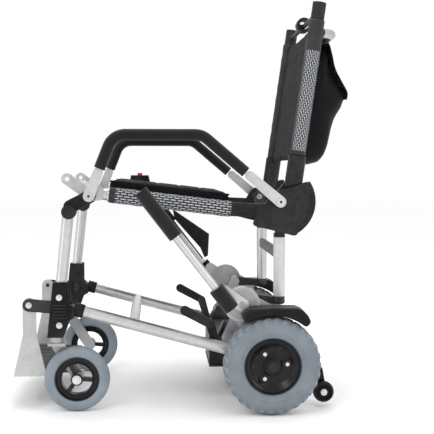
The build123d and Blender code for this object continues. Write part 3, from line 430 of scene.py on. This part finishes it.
def addBolt(bm, place, outward, radius=0.0075, height=0.005):
    # round washer, hexagon head and a dimple
    x, y, z = place
    addRod(bm, (x, y, z), (x, y + outward * height * 0.35, z), radius * 1.25, 24)
    addRod(bm, (x, y + outward * height * 0.3, z), (x, y + outward * height, z), radius, 6, radius * 0.94)
    addRod(bm, (x, y + outward * height, z), (x, y + outward * height * 1.12, z), radius * 0.45, 16)


def ringAt(centre, radius, degrees):
    a = math.radians(degrees)
    return (centre[0] + radius * math.cos(a), centre[1], centre[2] + radius * math.sin(a))


# ---- drive wheels ----
driveWheel = {"steps": 120, "blocks": 30, "rise": 0.0022, "rimRings": 96,
              "bolts": (8, 123, 237), "boltRing": 0.034}


def tyreOutline(half, outer, inner, ridge):
    side = [(half * 0.74, inner), (half * 0.9, inner + 0.004), (half * 0.985, inner + 0.013),
            (half * 0.995 + ridge, inner + 0.0145), (half, inner + 0.017), (half * 0.995, outer - 0.024),
            (half * 0.985 + ridge, outer - 0.0225), (half * 0.955, outer - 0.019),
            (half * 0.86, outer - 0.0115),
            (half * 0.68, outer - 0.0055), (half * 0.42, outer - 0.0022), (half * 0.36, outer - 0.0045),
            (half * 0.16, outer - 0.0042), (half * 0.11, outer - 0.0012)]
    return side + [(-y, r) for y, r in reversed(side)]


def driveTyre(name):
    node = "rear_tyre_" + name
    centre, dims = middle(node), size(node)
    half, outer = dims.y / 2, dims.z / 2
    inner = (size("rear_rim_" + name).z / 2) + 0.0002
    bm = spun(tyreOutline(half, outer - driveWheel["rise"] * 0.4, inner, 0.0006), centre, driveWheel["steps"])
    # shoulder blocks: slanted groups of faces lifted from the crown and the shoulders
    bm.faces.ensure_lookup_table()
    raised = []
    for face in bm.faces:
        spot = face.calc_center_median() - centre
        radius = math.hypot(spot.x, spot.z)
        away = abs(spot.y) / half
        turn = math.degrees(math.atan2(spot.z, spot.x)) % 360
        lane = turn + away * 14 * (1 if spot.y > 0 else -1)
        pitch = 360 / driveWheel["blocks"]
        if radius > outer - 0.0145 and 0.4 < away < 0.93 and (lane % pitch) < pitch * 0.62:
            raised.append(face)
    lifted = bmesh.ops.extrude_face_region(bm, geom=raised)
    top = [v for v in lifted["geom"] if isinstance(v, bmesh.types.BMVert)]
    for vert in top:
        spot = vert.co - centre
        radial = Vector((spot.x, 0, spot.z)).normalized()
        vert.co += (radial * 0.8 + Vector((0, math.copysign(0.35, spot.y), 0))) * driveWheel["rise"]
    bmesh.ops.delete(bm, geom=raised, context="FACES_ONLY")
    keepPiece("driveTyre" + name.title(), bm, "rear_wheel_" + name, "drive_tyre", nodes=[node],
              finish=[crease])


def driveRim(name, sign):
    node = "rear_rim_" + name
    centre, dims = middle(node), size(node)
    r = dims.z / 2
    half = dims.y / 2
    out = sign
    bowl = [(0.98, 1.0), (1.04, 0.985), (1.0, 0.955), (0.8, 0.93), (0.74, 0.9), (0.66, 0.82), (0.6, 0.8),
            (0.38, 0.66), (0.34, 0.62), (0.36, 0.36), (0.42, 0.33), (0.5, 0.3), (0.52, 0.13),
            (-0.52, 0.13), (-0.5, 0.3), (-0.1, 0.36), (-0.1, 0.62), (-0.6, 0.8),
            (-0.74, 0.9), (-1.0, 0.955), (-0.98, 1.0)]
    bm = spun([(out * y * half, q * r) for y, q in bowl], centre, driveWheel["rimRings"])
    for degrees in driveWheel["bolts"]:
        x, _, z = ringAt(centre, driveWheel["boltRing"], degrees)
        addBolt(bm, (x, centre.y + out * half * 0.34, z), out, 0.0085, 0.009)
    for degrees in driveWheel["bolts"]:
        x, _, z = ringAt(centre, driveWheel["boltRing"] * 1.35, degrees + 58)
        addRod(bm, (x, centre.y + out * half * 0.33, z), (x, centre.y + out * half * 0.46, z), 0.0042, 16)
    y0 = centre.y + out * half * 0.5
    addRod(bm, (centre.x, y0, centre.z), (centre.x, y0 + out * 0.010, centre.z), 0.0175, 40, 0.0165)
    addRod(bm, (centre.x, y0 + out * 0.010, centre.z), (centre.x, y0 + out * 0.0135, centre.z),
           0.0145, 40, 0.012)
    keepPiece("driveRim" + name.title(), bm, "rear_wheel_" + name, "rim", nodes=[node], finish=[crease])


# ---- casters ----
casterWheel = {"steps": 96, "spokes": (-5, 115, 235), "spokeWidth": 0.010}


def casterTyre(name):
    node = "caster_tyre_" + name
    centre, dims = middle(node), size(node)
    half, outer = dims.y / 2, dims.z / 2
    inner = 0.0522
    side = [(half * 0.75, inner), (half * 0.95, inner + 0.003), (half, inner + 0.008),
            (half * 0.99, outer - 0.0125),
            (half * 0.9, outer - 0.0075), (half * 0.72, outer - 0.0035), (half * 0.45, outer - 0.001),
            (half * 0.4, outer - 0.0022), (half * 0.34, outer - 0.0008), (half * 0.1, outer)]
    bm = spun(side + [(-y, r) for y, r in reversed(side)], centre, casterWheel["steps"])
    keepPiece("casterTyre" + name.title(), bm, "caster_wheel_" + name, "caster_tyre", nodes=[node],
              finish=[crease])


def casterRim(name, sign):
    node = "caster_rim_" + name
    centre = middle(node)
    half = 0.0118
    barrel = [(half, 0.0519), (half * 1.06, 0.0515), (half * 1.06, 0.049), (half * 0.7, 0.0475),
              (half * 0.5, 0.0385),
              (half * 0.8, 0.0372), (half * 0.8, 0.0358), (-half * 0.8, 0.0358), (-half * 0.8, 0.0372),
              (-half * 0.5, 0.0385), (-half * 0.7, 0.0475), (-half * 1.06, 0.049),
              (-half * 1.06, 0.0515), (-half, 0.0519)]
    bm = spun(barrel, centre, casterWheel["steps"])
    addRod(bm, centre - Vector((0, 0.0148, 0)), centre + Vector((0, 0.0148, 0)), 0.0145, 40)
    for degrees in casterWheel["spokes"]:
        x, y, z = ringAt(centre, 0.0255, degrees)
        addBlock(bm, (x, y, z), (0.026, 0.011, casterWheel["spokeWidth"]), -math.radians(degrees))
        x, y, z = ringAt(centre, 0.0255, degrees)
        addBlock(bm, (x, y, z), (0.024, 0.016, 0.003), -math.radians(degrees))
    keepPiece("casterRim" + name.title(), bm, "caster_wheel_" + name, "rim", nodes=[node], finish=[crease])
    bm = bmesh.new()
    face = centre.y + sign * 0.0193
    addBolt(bm, (centre.x, face, centre.z), sign, 0.0085, 0.0035)
    keepPiece("casterBolt" + name.title(), bm, "caster_swivel_" + name, "steel", finish=[crease])


def tipWheel(name, sign):
    node = "anti_tip_wheel_" + name
    centre, dims = middle(node), size(node)
    half, r = dims.y / 2, dims.z / 2
    outline = [(half * 0.6, 0.0042), (half * 0.9, 0.006), (half * 0.9, 0.012), (half * 0.55, 0.013),
               (half * 0.55, 0.0175),
               (half, 0.0185), (half, r - 0.003), (half * 0.7, r - 0.0005), (half * 0.2, r)]
    bm = spun(outline + [(-y, q) for y, q in reversed(outline)], centre, 64)
    keepPiece("tipWheel" + name.title(), bm, "tip_wheel_" + name, "black_plastic", nodes=[node],
              finish=[crease])
    bm = bmesh.new()
    addBolt(bm, (centre.x, centre.y + sign * (half + 0.0005), centre.z), sign, 0.0062, 0.004)
    keepPiece("tipBolt" + name.title(), bm, "base", "steel", finish=[crease])


for name, sign in sides.items():
    driveTyre(name)
    driveRim(name, sign)
    casterTyre(name)
    casterRim(name, sign)
    tipWheel(name, sign)
print("wheels ready")


# ---- sleeves over the seat rails and the back posts ----
# half the distance between the two side frames
frameHalf = abs(jointAt("caster_swivel_left").y)


def axisOf(node, radius):
    # the side-view axis of a leaning bar, worked out from its box
    low, high = (Vector(c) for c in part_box(node))
    wide, tall = high.x - low.x, high.z - low.z
    angle = math.atan2(tall, wide)
    for _ in range(40):
        angle = math.atan2(tall - 2 * radius * math.cos(angle), wide - 2 * radius * math.sin(angle))
    inset = Vector((radius * math.sin(angle), 0, radius * math.cos(angle)))
    return low + inset, high - inset, angle


sleeves = {"rings": 90, "sides": 40, "pucker": 0.0005, "seatBand": (0.05, 0.99), "backBand": (0.035, 0.77)}


def makeSleeve(name, body, start, end, radius, band, nodes, scale, wrap):
    length = (end - start).length
    turn = (end - start).to_track_quat("Z", "Y").to_matrix().to_4x4()
    bm = bmesh.new()
    bmesh.ops.create_circle(bm, cap_ends=False, segments=sleeves["sides"], radius=radius)
    ring = list(bm.edges)
    for _ in range(sleeves["rings"]):
        grown = bmesh.ops.extrude_edge_only(bm, edges=ring)["geom"]
        bmesh.ops.translate(bm, verts=[v for v in grown if isinstance(v, bmesh.types.BMVert)],
                            vec=(0, 0, length / sleeves["rings"]))
        ring = [e for e in grown if isinstance(e, bmesh.types.BMEdge)]
    uv = bm.loops.layers.uv.new("sleeveMap")
    bandLayer = bm.verts.layers.float.new("meshBand")
    for face in bm.faces:
        turns = [math.atan2(l.vert.co.y, l.vert.co.x) / math.tau % 1 for l in face.loops]
        wraps = max(turns) - min(turns) > 0.5
        for loop, a in zip(face.loops, turns):
            around = (a + (1 if wraps and a < 0.5 else 0)) * math.tau * radius
            loop[uv].uv = (loop.vert.co.z * scale, around * scale)
    for vert in bm.verts:
        along = vert.co.z / length
        a = math.atan2(vert.co.y, vert.co.x)
        away = turn @ vert.co.xyz.to_3d() - turn @ Vector((0, 0, vert.co.z))
        facing = away.y * math.copysign(1, start.y) / radius
        inBand = 1.0 if band[0] < along < band[1] else 0.0
        vert[bandLayer] = inBand * min(1.0, max(0.0, (facing - wrap) / 0.3))
        pucker = math.sin(along * 46 + 2.3 * math.sin(a * 2)) * math.cos(a * 3 + along * 9)
        squeeze = 0.0012 if min(along, 1 - along) * length < 0.002 else 0
        grow = 1 + (sleeves["pucker"] * pucker - squeeze) / radius
        vert.co.x *= grow
        vert.co.y *= grow
    bmesh.ops.transform(bm, matrix=Matrix.Translation(start) @ turn, verts=bm.verts)
    keepPiece(name, bm, body, "mesh_cover", nodes=nodes,
              finish=[("SOLIDIFY", {"thickness": 0.0022, "offset": -1.0})])


def makeSleeves():
    for node, body, band, label, scale, wrap in (
            ("rail_covers", "seat", sleeves["seatBand"], "railSleeve", 1.0, -0.3),
            ("post_covers", "back", sleeves["backBand"], "postSleeve", 1.4, 0.35)):
        radius = size(node).y / 2 - frameHalf
        low, high, _ = axisOf(node, radius)
        if body == "seat":
            low.z, high.z = high.z, low.z
        for name, sign in sides.items():
            start, end = low.copy(), high.copy()
            start.y = end.y = sign * frameHalf
            makeSleeve(label + name.title(), body, start, end, radius, band, [node], scale, wrap)
            bm = bmesh.new()
            d = (end - start).normalized()
            addRod(bm, start - d * 0.004, start - d * 0.0005, radius * 0.97, 40)
            keepPiece(label + "Ring" + name.title(), bm, body, "steel", finish=[softEdge])


makeSleeves()
print("sleeves ready")


# ---- padded cloth ----
def inflate(obj, pressure, cap, voxel):
    # blows the pad up a little with cloth, each point held within cap of where it was
    before = obj.data.copy()
    bpy.context.view_layer.objects.active = obj
    obj.select_set(True)
    obj.data.remesh_voxel_size = voxel
    bpy.ops.object.voxel_remesh()
    start = [v.co.copy() for v in obj.data.vertices]
    sim = obj.modifiers.new("cloth", "CLOTH")
    sim.settings.quality = 5
    sim.settings.use_pressure = True
    sim.settings.uniform_pressure_force = pressure
    sim.settings.effector_weights.gravity = 0
    sim.settings.tension_stiffness = 20
    sim.settings.compression_stiffness = 20
    sim.settings.bending_stiffness = 0.6
    for step in range(1, 19):
        bpy.context.scene.frame_set(step)
    blown = bpy.data.meshes.new_from_object(obj.evaluated_get(bpy.context.evaluated_depsgraph_get()))
    for vert, rest in zip(blown.vertices, start):
        move = vert.co - rest
        if move.length > cap:
            vert.co = rest + move.normalized() * cap
    obj.modifiers.clear()
    name = before.name
    obj.data = blown
    bpy.data.meshes.remove(before)
    blown.name = name
    bpy.context.scene.frame_set(1)
    obj.select_set(False)


def padBetween(name, node, body, length, width, thick, place, pressure, cap, seams, cuts=(34, 30), sag=0.0):
    # a pad in its own plane (x along it, y across, z out of it), inflated, sewn, then put in place
    bm = bmesh.new()
    inset = 0.003
    block = Matrix.Diagonal((length - 2 * inset, width - 2 * inset, thick - 2 * inset, 1))
    bmesh.ops.create_cube(bm, size=1, matrix=block)
    bmesh.ops.bevel(bm, geom=bm.edges, offset=thick * 0.3, segments=4, profile=0.5, affect="EDGES",
                    material=-1)
    longEdges = [e for e in bm.edges if e.calc_length() > length * 0.5]
    bmesh.ops.subdivide_edges(bm, edges=longEdges, cuts=cuts[0], use_grid_fill=True)
    wideEdges = [e for e in bm.edges if e.calc_length() > width * 0.5]
    bmesh.ops.subdivide_edges(bm, edges=wideEdges, cuts=cuts[1], use_grid_fill=True)
    mesh = bpy.data.meshes.new(name)
    bm.to_mesh(mesh)
    bm.free()
    pad = bpy.data.objects.new(name, mesh)
    bpy.context.collection.objects.link(pad)
    inflate(pad, pressure, cap, 0.0045)
    work = bmesh.new()
    work.from_mesh(pad.data)
    for vert in work.verts:
        x, y, z = vert.co
        across = max(0.0, 1 - (2 * y / width) ** 2)
        along = max(0.0, 1 - (2 * x / length) ** 2)
        dip = 0.0
        for kind, spot, depth in seams:
            off = (x - spot) if kind == "across" else (y - spot)
            dip += depth * math.exp(-(off / 0.0032) ** 2)
        wave = 0.0007 * math.sin(x * 61 + 2 * math.sin(y * 23)) * math.sin(y * 47 + 1.3)
        grow = (wave - dip) * (0.35 + 0.65 * min(1, across * 4) * min(1, along * 4))
        vert.co.z += grow * (1 if z > 0 else -0.6)
        vert.co.z -= sag * across * (0.6 + 0.4 * along)
    bmesh.ops.smooth_vert(work, verts=work.verts, factor=0.35, use_axis_x=True,
                          use_axis_y=True, use_axis_z=True)
    bmesh.ops.transform(work, matrix=place, verts=work.verts)
    for face in work.faces:
        face.smooth = True
    work.to_mesh(pad.data)
    work.free()
    pad.data.materials.clear()
    pad.data.materials.append(paint["seat_fabric"])
    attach(pad, body)
    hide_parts(node)
    return pad


def edgeTape(name, body, place, length, width, height, inset, slot="seat_fabric"):
    # bound edge: a thin rolled tape along both long sides, with a row of stitches beside it
    bm = bmesh.new()
    for sign in (-1, 1):
        y = sign * (width / 2 - inset)
        addRod(bm, (-length / 2 + 0.006, y, height), (length / 2 - 0.006, y, height), 0.0022, 10)
    bmesh.ops.transform(bm, matrix=place, verts=bm.verts)
    keepPiece(name, bm, body, slot)
    stitches = bmesh.new()
    count = int(length / 0.0075)
    for sign in (-1, 1):
        y = sign * (width / 2 - inset - 0.009)
        for i in range(2, count - 2):
            x = -length / 2 + (i + 0.5) * 0.0075
            addRod(stitches, (x - 0.0021, y, height + 0.0004), (x + 0.0021, y, height + 0.0004), 0.0006, 6)
    bmesh.ops.transform(stitches, matrix=place, verts=stitches.verts)
    keepPiece(name + "Stitches", stitches, body, slot, material=threadPaint)


threadPaint = surface("greyThread", (0.16, 0.16, 0.17), (0.26, 0.26, 0.27), (0.6, 0.8),
                      fine=2500.0, bump=0.2, wear=0.0)
seatPad = {"thick": 0.021, "cap": 0.006, "pressure": 3.5, "seam": 0.0026}
backPad = {"thick": 0.012, "cap": 0.005, "pressure": 3.0, "seam": 0.002}


def makeSeat():
    low, high = (Vector(c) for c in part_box("seat_sling"))
    start, end, angle = axisOf("seat_sling", seatPad["thick"] / 2)
    length = math.hypot(end.x - start.x, end.z - start.z)
    width = high.y - low.y
    place = Matrix.Translation((low + high) / 2) @ Matrix.Rotation(angle, 4, "Y")
    seams = [("across", length * s, seatPad["seam"]) for s in (-0.3, -0.1, 0.1, 0.3)]
    seams += [("along", width * s, seatPad["seam"] * 0.8) for s in (-0.36, 0.36)]
    padBetween("seatCushion", "seat_sling", "seat", length, width, seatPad["thick"], place,
               seatPad["pressure"], seatPad["cap"], seams)
    edgeTape("seatBinding", "seat", place, length, width, seatPad["thick"] * 0.42, 0.004)


def makeBack():
    low, high = (Vector(c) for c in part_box("back_sling"))
    start, end, angle = axisOf("back_sling", backPad["thick"] / 2)
    length = math.hypot(end.x - start.x, end.z - start.z)
    width = high.y - low.y + 0.012
    place = Matrix.Translation((low + high) / 2) @ Matrix.Rotation(-angle, 4, "Y")
    seams = [("across", length * s, backPad["seam"]) for s in (-0.38, -0.15, 0.08, 0.31)]
    seams += [("along", width * s, backPad["seam"]) for s in (-0.38, 0.38)]
    padBetween("backUpholstery", "back_sling", "back", length, width, backPad["thick"], place,
               backPad["pressure"], backPad["cap"], seams)
    edgeTape("backBinding", "back", place, length, width, backPad["thick"] * 0.45, 0.003)
    # plain sewn tab near the top of the back, on its rear face's left edge
    tab = bmesh.new()
    for share, tall in ((0.405, 0.012), (0.43, 0.004), (0.452, 0.012)):
        addBlock(tab, (length * share, -width * 0.44, -backPad["thick"] * 0.62), (tall, 0.03, 0.0012))
    bmesh.ops.transform(tab, matrix=place, verts=tab.verts)
    keepPiece("backTab", tab, "back", "seat_fabric", material=tabPaint)


tabPaint = surface("redTape", (0.4, 0.012, 0.012), (0.55, 0.03, 0.025), (0.55, 0.7),
                   fine=1800.0, bump=0.3, wear=0.0)
makeSeat()
makeBack()
print("seat and back ready")


# ---- the bag behind the back ----
bag = {"outline": [(0.277, 0.602), (0.288, 0.69), (0.301, 0.78), (0.314, 0.864), (0.338, 0.8745),
                   (0.354, 0.873), (0.366, 0.815), (0.402, 0.757), (0.397, 0.727), (0.377, 0.69),
                   (0.364, 0.63), (0.348, 0.592),
                   (0.322, 0.58), (0.294, 0.581)],
       "half": 0.118, "stations": 44, "steps": 9, "fold": 0.0075}


def smoothLoop(points, steps):
    out = []
    count = len(points)
    for i in range(count):
        a, b, c, d = (Vector(points[(i + k) % count]) for k in (-1, 0, 1, 2))
        for j in range(steps):
            t = j / steps
            out.append(0.5 * (2 * b + (c - a) * t + (2 * a - 5 * b + 4 * c - d) * t * t
                              + (3 * b - a - 3 * c + d) * t ** 3))
    return out


def drape(point):
    # soft vertical folds, deepest halfway down
    high = (point.z - 0.58) / 0.3
    depth = 0.35 + 0.65 * math.sin(max(0.0, min(1.0, high)) * math.pi)
    ridge = noise.noise(Vector((point.x * 30, point.y * 26, point.z * 9)))
    small = noise.noise(Vector((point.x * 70, point.y * 60, point.z * 45)))
    return bag["fold"] * depth * (ridge - 0.25) + 0.0014 * small


def makeBag():
    loop = smoothLoop(bag["outline"], bag["steps"])
    centre = Vector((0.334, 0.727))
    bm = bmesh.new()
    rows = []
    for i in range(bag["stations"] + 1):
        t = 2 * i / bag["stations"] - 1
        scale = max(0.3, (1 - abs(t) ** 5) ** 0.3) if abs(t) < 1 else 0.3
        row = []
        for p in loop:
            q = centre + (p - centre) * scale
            front = centre.x + (p.x - centre.x) * (scale if p.x > 0.32 else 0.55 + 0.45 * scale)
            spot = Vector((front, bag["half"] * t, q.y))
            outward = Vector((p.x - centre.x, 0, p.y - centre.y)).normalized()
            free = min(1.0, max(0.0, (p.x - 0.306) / 0.03))
            row.append(bm.verts.new(spot + outward * drape(spot) * free))
        rows.append(row)
    for a, b in zip(rows, rows[1:]):
        for i in range(len(loop)):
            j = (i + 1) % len(loop)
            bm.faces.new((a[i], a[j], b[j], b[i]))
    for row in (rows[0], rows[-1]):
        hub = bm.verts.new(sum((v.co for v in row), Vector()) / len(row))
        for i in range(len(row)):
            bm.faces.new((row[i], row[(i + 1) % len(row)], hub))
    shell = keepPiece("bagShell", bm, "back", "bag_fabric", nodes=["back_bag"])
    makeFlap()
    makeStraps()


def makeFlap():
    path = [(0.3155, 0.8655), (0.326, 0.8755), (0.342, 0.8785), (0.357, 0.8765), (0.366, 0.852),
            (0.3725, 0.822),
            (0.388, 0.792), (0.4055, 0.7625), (0.4065, 0.744)]
    line = []
    for i in range(len(path) - 1):
        a, b, c, d = (Vector(path[max(0, min(len(path) - 1, i + k))]) for k in (-1, 0, 1, 2))
        for j in range(6):
            t = j / 6
            line.append(0.5 * (2 * b + (c - a) * t + (2 * a - 5 * b + 4 * c - d) * t * t
                               + (3 * b - a - 3 * c + d) * t ** 3))
    line.append(Vector(path[-1]))
    bm = bmesh.new()
    rows = []
    across = 36
    for i in range(across + 1):
        t = 2 * i / across - 1
        row = []
        for k, p in enumerate(line):
            share = k / (len(line) - 1)
            spot = Vector((p.x, 0.112 * t * (1 - 0.05 * share ** 4), p.y))
            lift = 0.0016 * math.sin(t * 7 + share * 3) * share + 0.002 * noise.noise(spot * 34) * share
            droop = -0.01 * abs(t) ** 4 * share
            row.append(bm.verts.new(spot + Vector((lift + droop * 0.6, 0, droop * 0.4))))
        rows.append(row)
    for a, b in zip(rows, rows[1:]):
        for i in range(len(line) - 1):
            bm.faces.new((a[i], a[i + 1], b[i + 1], b[i]))
    flap = keepPiece("bagFlap", bm, "back", "bag_fabric",
                     finish=[("SOLIDIFY", {"thickness": 0.0014, "offset": 1.0})])
    hem = bmesh.new()
    for i in range(across):
        addRod(hem, hemPoint(i, across, line), hemPoint(i + 1, across, line), 0.0017, 8)
    binding = keepPiece("flapBinding", hem, "back", "bag_fabric")


def hemPoint(i, across, line):
    t = 2 * i / across - 1
    p = line[-1]
    spot = Vector((p.x, 0.112 * t * 0.95, p.y))
    lift = 0.0016 * math.sin(t * 7 + 3) + 0.002 * noise.noise(spot * 34)
    droop = -0.01 * abs(t) ** 4
    return spot + Vector((lift + droop * 0.6, 0, droop * 0.4))


strap = {"barX": 0.349, "barZ": 0.888, "reach": 0.0142, "side": 0.07, "wide": 0.02, "thick": 0.0016,
         "from": -50, "sweep": 280, "steps": 20, "rear": (0.361, 0, 0.868), "front": (0.336, 0, 0.868)}


def makeStraps():
    # two webbing loops that hang the bag from the push bar
    steps, reach = strap["steps"], strap["reach"]
    bm = bmesh.new()
    for sign in (-1, 1):
        y = sign * strap["side"]
        turns = [math.radians(strap["from"] + strap["sweep"] * i / steps) for i in range(steps + 1)]
        points = [Vector((strap["barX"] + reach * math.cos(a), 0, strap["barZ"] + reach * math.sin(a)))
                  for a in turns]
        points = [Vector(strap["rear"])] + points + [Vector(strap["front"])]
        for a, b in zip(points, points[1:]):
            centre = (a + b) / 2
            d = (b - a)
            turn = d.to_track_quat("X", "Z").to_matrix().to_4x4()
            place = Matrix.Translation(Vector((centre.x, y, centre.z))) @ turn
            webbing = Matrix.Diagonal((d.length * 1.06, strap["wide"], strap["thick"], 1))
            bmesh.ops.create_cube(bm, size=1, matrix=place @ webbing)
    keepPiece("bagStraps", bm, "back", "bag_fabric", smooth=False)


makeBag()
print("bag ready")


# ---- trim on the hip sectors, housings and footplate, with sockets, bolts and wheel guards ----
hip = {"x": jointAt("back_fold").x, "z": jointAt("back_fold").z, "outer": 0.0865, "inner": 0.058,
       "from": 33.0, "to": -67.0, "near": 0.2138, "far": 0.2262}


def onHip(angle, radius, y):
    a = math.radians(angle)
    return Vector((hip["x"] + radius * math.cos(a), y, hip["z"] + radius * math.sin(a)))


def makeHip(name, sign):
    bm = bmesh.new()
    count = 48
    rings = []
    for i in range(count + 1):
        angle = hip["from"] + (hip["to"] - hip["from"]) * i / count
        corners = [(hip["inner"], hip["near"]), (hip["outer"], hip["near"]), (hip["outer"], hip["far"]),
                   (hip["inner"], hip["far"])]
        rings.append([bm.verts.new(onHip(angle, r, sign * y)) for r, y in corners])
    for a, b in zip(rings, rings[1:]):
        for i in range(4):
            j = (i + 1) % 4
            bm.faces.new((a[i], a[j], b[j], b[i]))
    bm.faces.new(rings[0])
    bm.faces.new(rings[-1])
    keepPiece("hipArc" + name.title(), bm, "seat", "black_plastic", finish=[crease])
    ribs = bmesh.new()
    for i in range(15):
        angle = hip["from"] - 14 - 76 * i / 14
        addRod(ribs, onHip(angle, 0.0755, sign * 0.2266), onHip(angle, 0.0825, sign * 0.2266), 0.0011, 8)
    for i in range(60):
        a, b = (hip["from"] - 12 - 80 * (i + k) / 60 for k in (0, 1))
        for radius in (0.074, 0.084):
            addRod(ribs, onHip(a, radius, sign * 0.2264), onHip(b, radius, sign * 0.2264), 0.0009, 6)
    for i in range(22):
        x = 0.112 + 0.0026 * i
        drop = 0.1 * (x - 0.106)
        addRod(ribs, (x, sign * 0.2263, 0.462 - drop), (x, sign * 0.2263, 0.482 - drop), 0.0007, 6)
    keepPiece("hipRibs" + name.title(), ribs, "seat", "black_plastic")
    cuffs = bmesh.new()
    low, high, _ = axisOf("post_covers", size("post_covers").y / 2 - frameHalf)
    low.y = high.y = sign * frameHalf
    d = (high - low).normalized()
    for i in range(6):
        spot = low - d * (0.012 + 0.0075 * i)
        addRod(cuffs, spot, spot + d * 0.0032, 0.0208 - 0.0004 * i, 40)
    keepPiece("postCuff" + name.title(), cuffs, "back", "black_plastic", finish=[softEdge])


housing = {"face": 0.2335, "boltHeights": (0.27, 0.205), "ribs": 5, "ribFace": 0.2332,
           "ribFoot": 0.222, "ribPitch": 0.0075, "rib": (0.03, 0.0018, 0.0028)}


def makeFrontTrim(name, sign):
    # bolts and short ribs on the outer face of a front housing
    x = jointAt("front_leg_fold").x
    bolts = bmesh.new()
    for z in housing["boltHeights"]:
        addBolt(bolts, (x, sign * housing["face"], z), sign, radius=0.0058, height=0.0036)
    keepPiece("housingBolts" + name.title(), bolts, "base", "steel", finish=[softEdge])
    ribs = bmesh.new()
    for i in range(housing["ribs"]):
        spot = (x + 0.001, sign * housing["ribFace"], housing["ribFoot"] + housing["ribPitch"] * i)
        addBlock(ribs, spot, housing["rib"])
    keepPiece("housingRibs" + name.title(), ribs, "base", "black_plastic", finish=[crease])


def makeTread():
    low, high = (Vector(c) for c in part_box("footplate"))
    bm = bmesh.new()
    count = 17
    for i in range(count):
        y = low.y + 0.03 + (high.y - low.y - 0.06) * i / (count - 1)
        addBlock(bm, ((low.x + high.x) / 2, y, high.z + 0.0004), (high.x - low.x - 0.034, 0.0032, 0.0016))
    keepPiece("footTread", bm, "footrest", "black_plastic", finish=[crease])


def outerAt(node, x, z, reach):
    # how far out a node's skin comes near a point seen from the side
    points = frame["nodes"][node].data.vertices
    near = [abs(v.co.y) for v in points if math.hypot(v.co.x - x, v.co.z - z) < reach]
    return max(near) if near else None


def makeSockets():
    # hexagon sockets in the bolt heads and small bolts on the footrest arms
    rest = jointAt("footrest_tuck")
    leg = jointAt("front_leg_fold")
    spots = [("pivot_bolts", "seat", leg.x + 0.071, leg.z + 0.235),
             ("pivot_bolts", "seat", jointAt("back_fold").x, jointAt("back_fold").z)]
    for k, (node, body, x, z) in enumerate(spots):
        out = outerAt(node, x, z, 0.014)
        if out is None:
            continue
        bm = bmesh.new()
        for sign in (-1, 1):
            addRod(bm, (x, sign * (out - 0.001), z), (x, sign * (out + 0.0004), z), 0.0036, 6)
        keepPiece("pivotSockets" + str(k), bm, body, "black_metal", smooth=False)
    out = outerAt("footrest_arms", rest.x, rest.z, 0.02)
    if out:
        bm = bmesh.new()
        for sign in (-1, 1):
            addBolt(bm, (rest.x, sign * out, rest.z), sign, radius=0.0058, height=0.003)
        keepPiece("footrestBolts", bm, "base", "steel", finish=[softEdge])


railSocket = {"x": -0.262, "length": 0.024, "radius": 0.0162, "rail": 0.014}


def makeRailSockets():
    # black sockets that take the front ends of the lower rails
    low, high, _ = axisOf("lower_rails", railSocket["rail"])
    low.z, high.z = high.z, low.z
    low.y = high.y = 0
    d = (high - low).normalized()
    for name, sign in sides.items():
        y = sign * frameHalf
        start = Vector((railSocket["x"], y, low.z + (railSocket["x"] - low.x) * d.z / d.x))
        bm = bmesh.new()
        addRod(bm, start, start + d * railSocket["length"], railSocket["radius"], 32)
        keepPiece("railSocket" + name.title(), bm, "base", "black_plastic", finish=[softEdge])


fender = {"top": [(0.1285, 0.2225), (0.1275, 0.232), (0.134, 0.2425), (0.146, 0.2485), (0.2, 0.2505),
                  (0.252, 0.2495),
                  (0.266, 0.244), (0.2775, 0.2315), (0.2845, 0.2165), (0.2765, 0.208)],
          "reach": 0.1178, "from": 50.5, "to": 122.0}


def makeFenders():
    # rounded guards whose underside follows the tyre
    hub = jointAt("rear_wheel_spin_left")
    high = Vector(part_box("fenders")[1])
    inner = innerAt("fenders")
    loop = [Vector(p) for p in fender["top"]]
    for i in range(25):
        a = math.radians(fender["from"] + (fender["to"] - fender["from"]) * i / 24)
        loop.append(Vector((hub.x + fender["reach"] * math.cos(a), hub.z + fender["reach"] * math.sin(a))))
    for name, sign in sides.items():
        bm = bmesh.new()
        near, far = sign * inner, sign * high.y
        left = [bm.verts.new((p.x, near, p.y)) for p in loop]
        right = [bm.verts.new((p.x, far, p.y)) for p in loop]
        for i in range(len(loop)):
            j = (i + 1) % len(loop)
            bm.faces.new((left[i], left[j], right[j], right[i]))
        bm.faces.new(left)
        bm.faces.new(right)
        keepPiece("wheelGuard" + name.title(), bm, "base", "black_plastic", nodes=["fenders"],
                  finish=[("BEVEL", {"width": 0.006, "segments": 4, "limit_method": "ANGLE",
                                    "angle_limit": 0.9})])


def innerAt(node):
    return min(abs(v.co.y) for v in frame["nodes"][node].data.vertices)


def makeWheelBolts():
    for name, sign in sides.items():
        centre, half = middle("rear_rim_" + name), size("rear_rim_" + name).y / 2
        face = centre.y + sign * (half * 0.34 + 0.009)
        bm = bmesh.new()
        for degrees in driveWheel["bolts"]:
            x, _, z = ringAt(centre, driveWheel["boltRing"], degrees)
            addRod(bm, (x, face - sign * 0.001, z), (x, face + sign * 0.003, z), 0.0047, 6)
        keepPiece("wheelBolts" + name.title(), bm, "rear_wheel_" + name, "steel", smooth=False)


makeFenders()
makeWheelBolts()

makeSockets()
makeRailSockets()

for name, sign in sides.items():
    makeHip(name, sign)
    makeFrontTrim(name, sign)
makeTread()
print("trim ready")
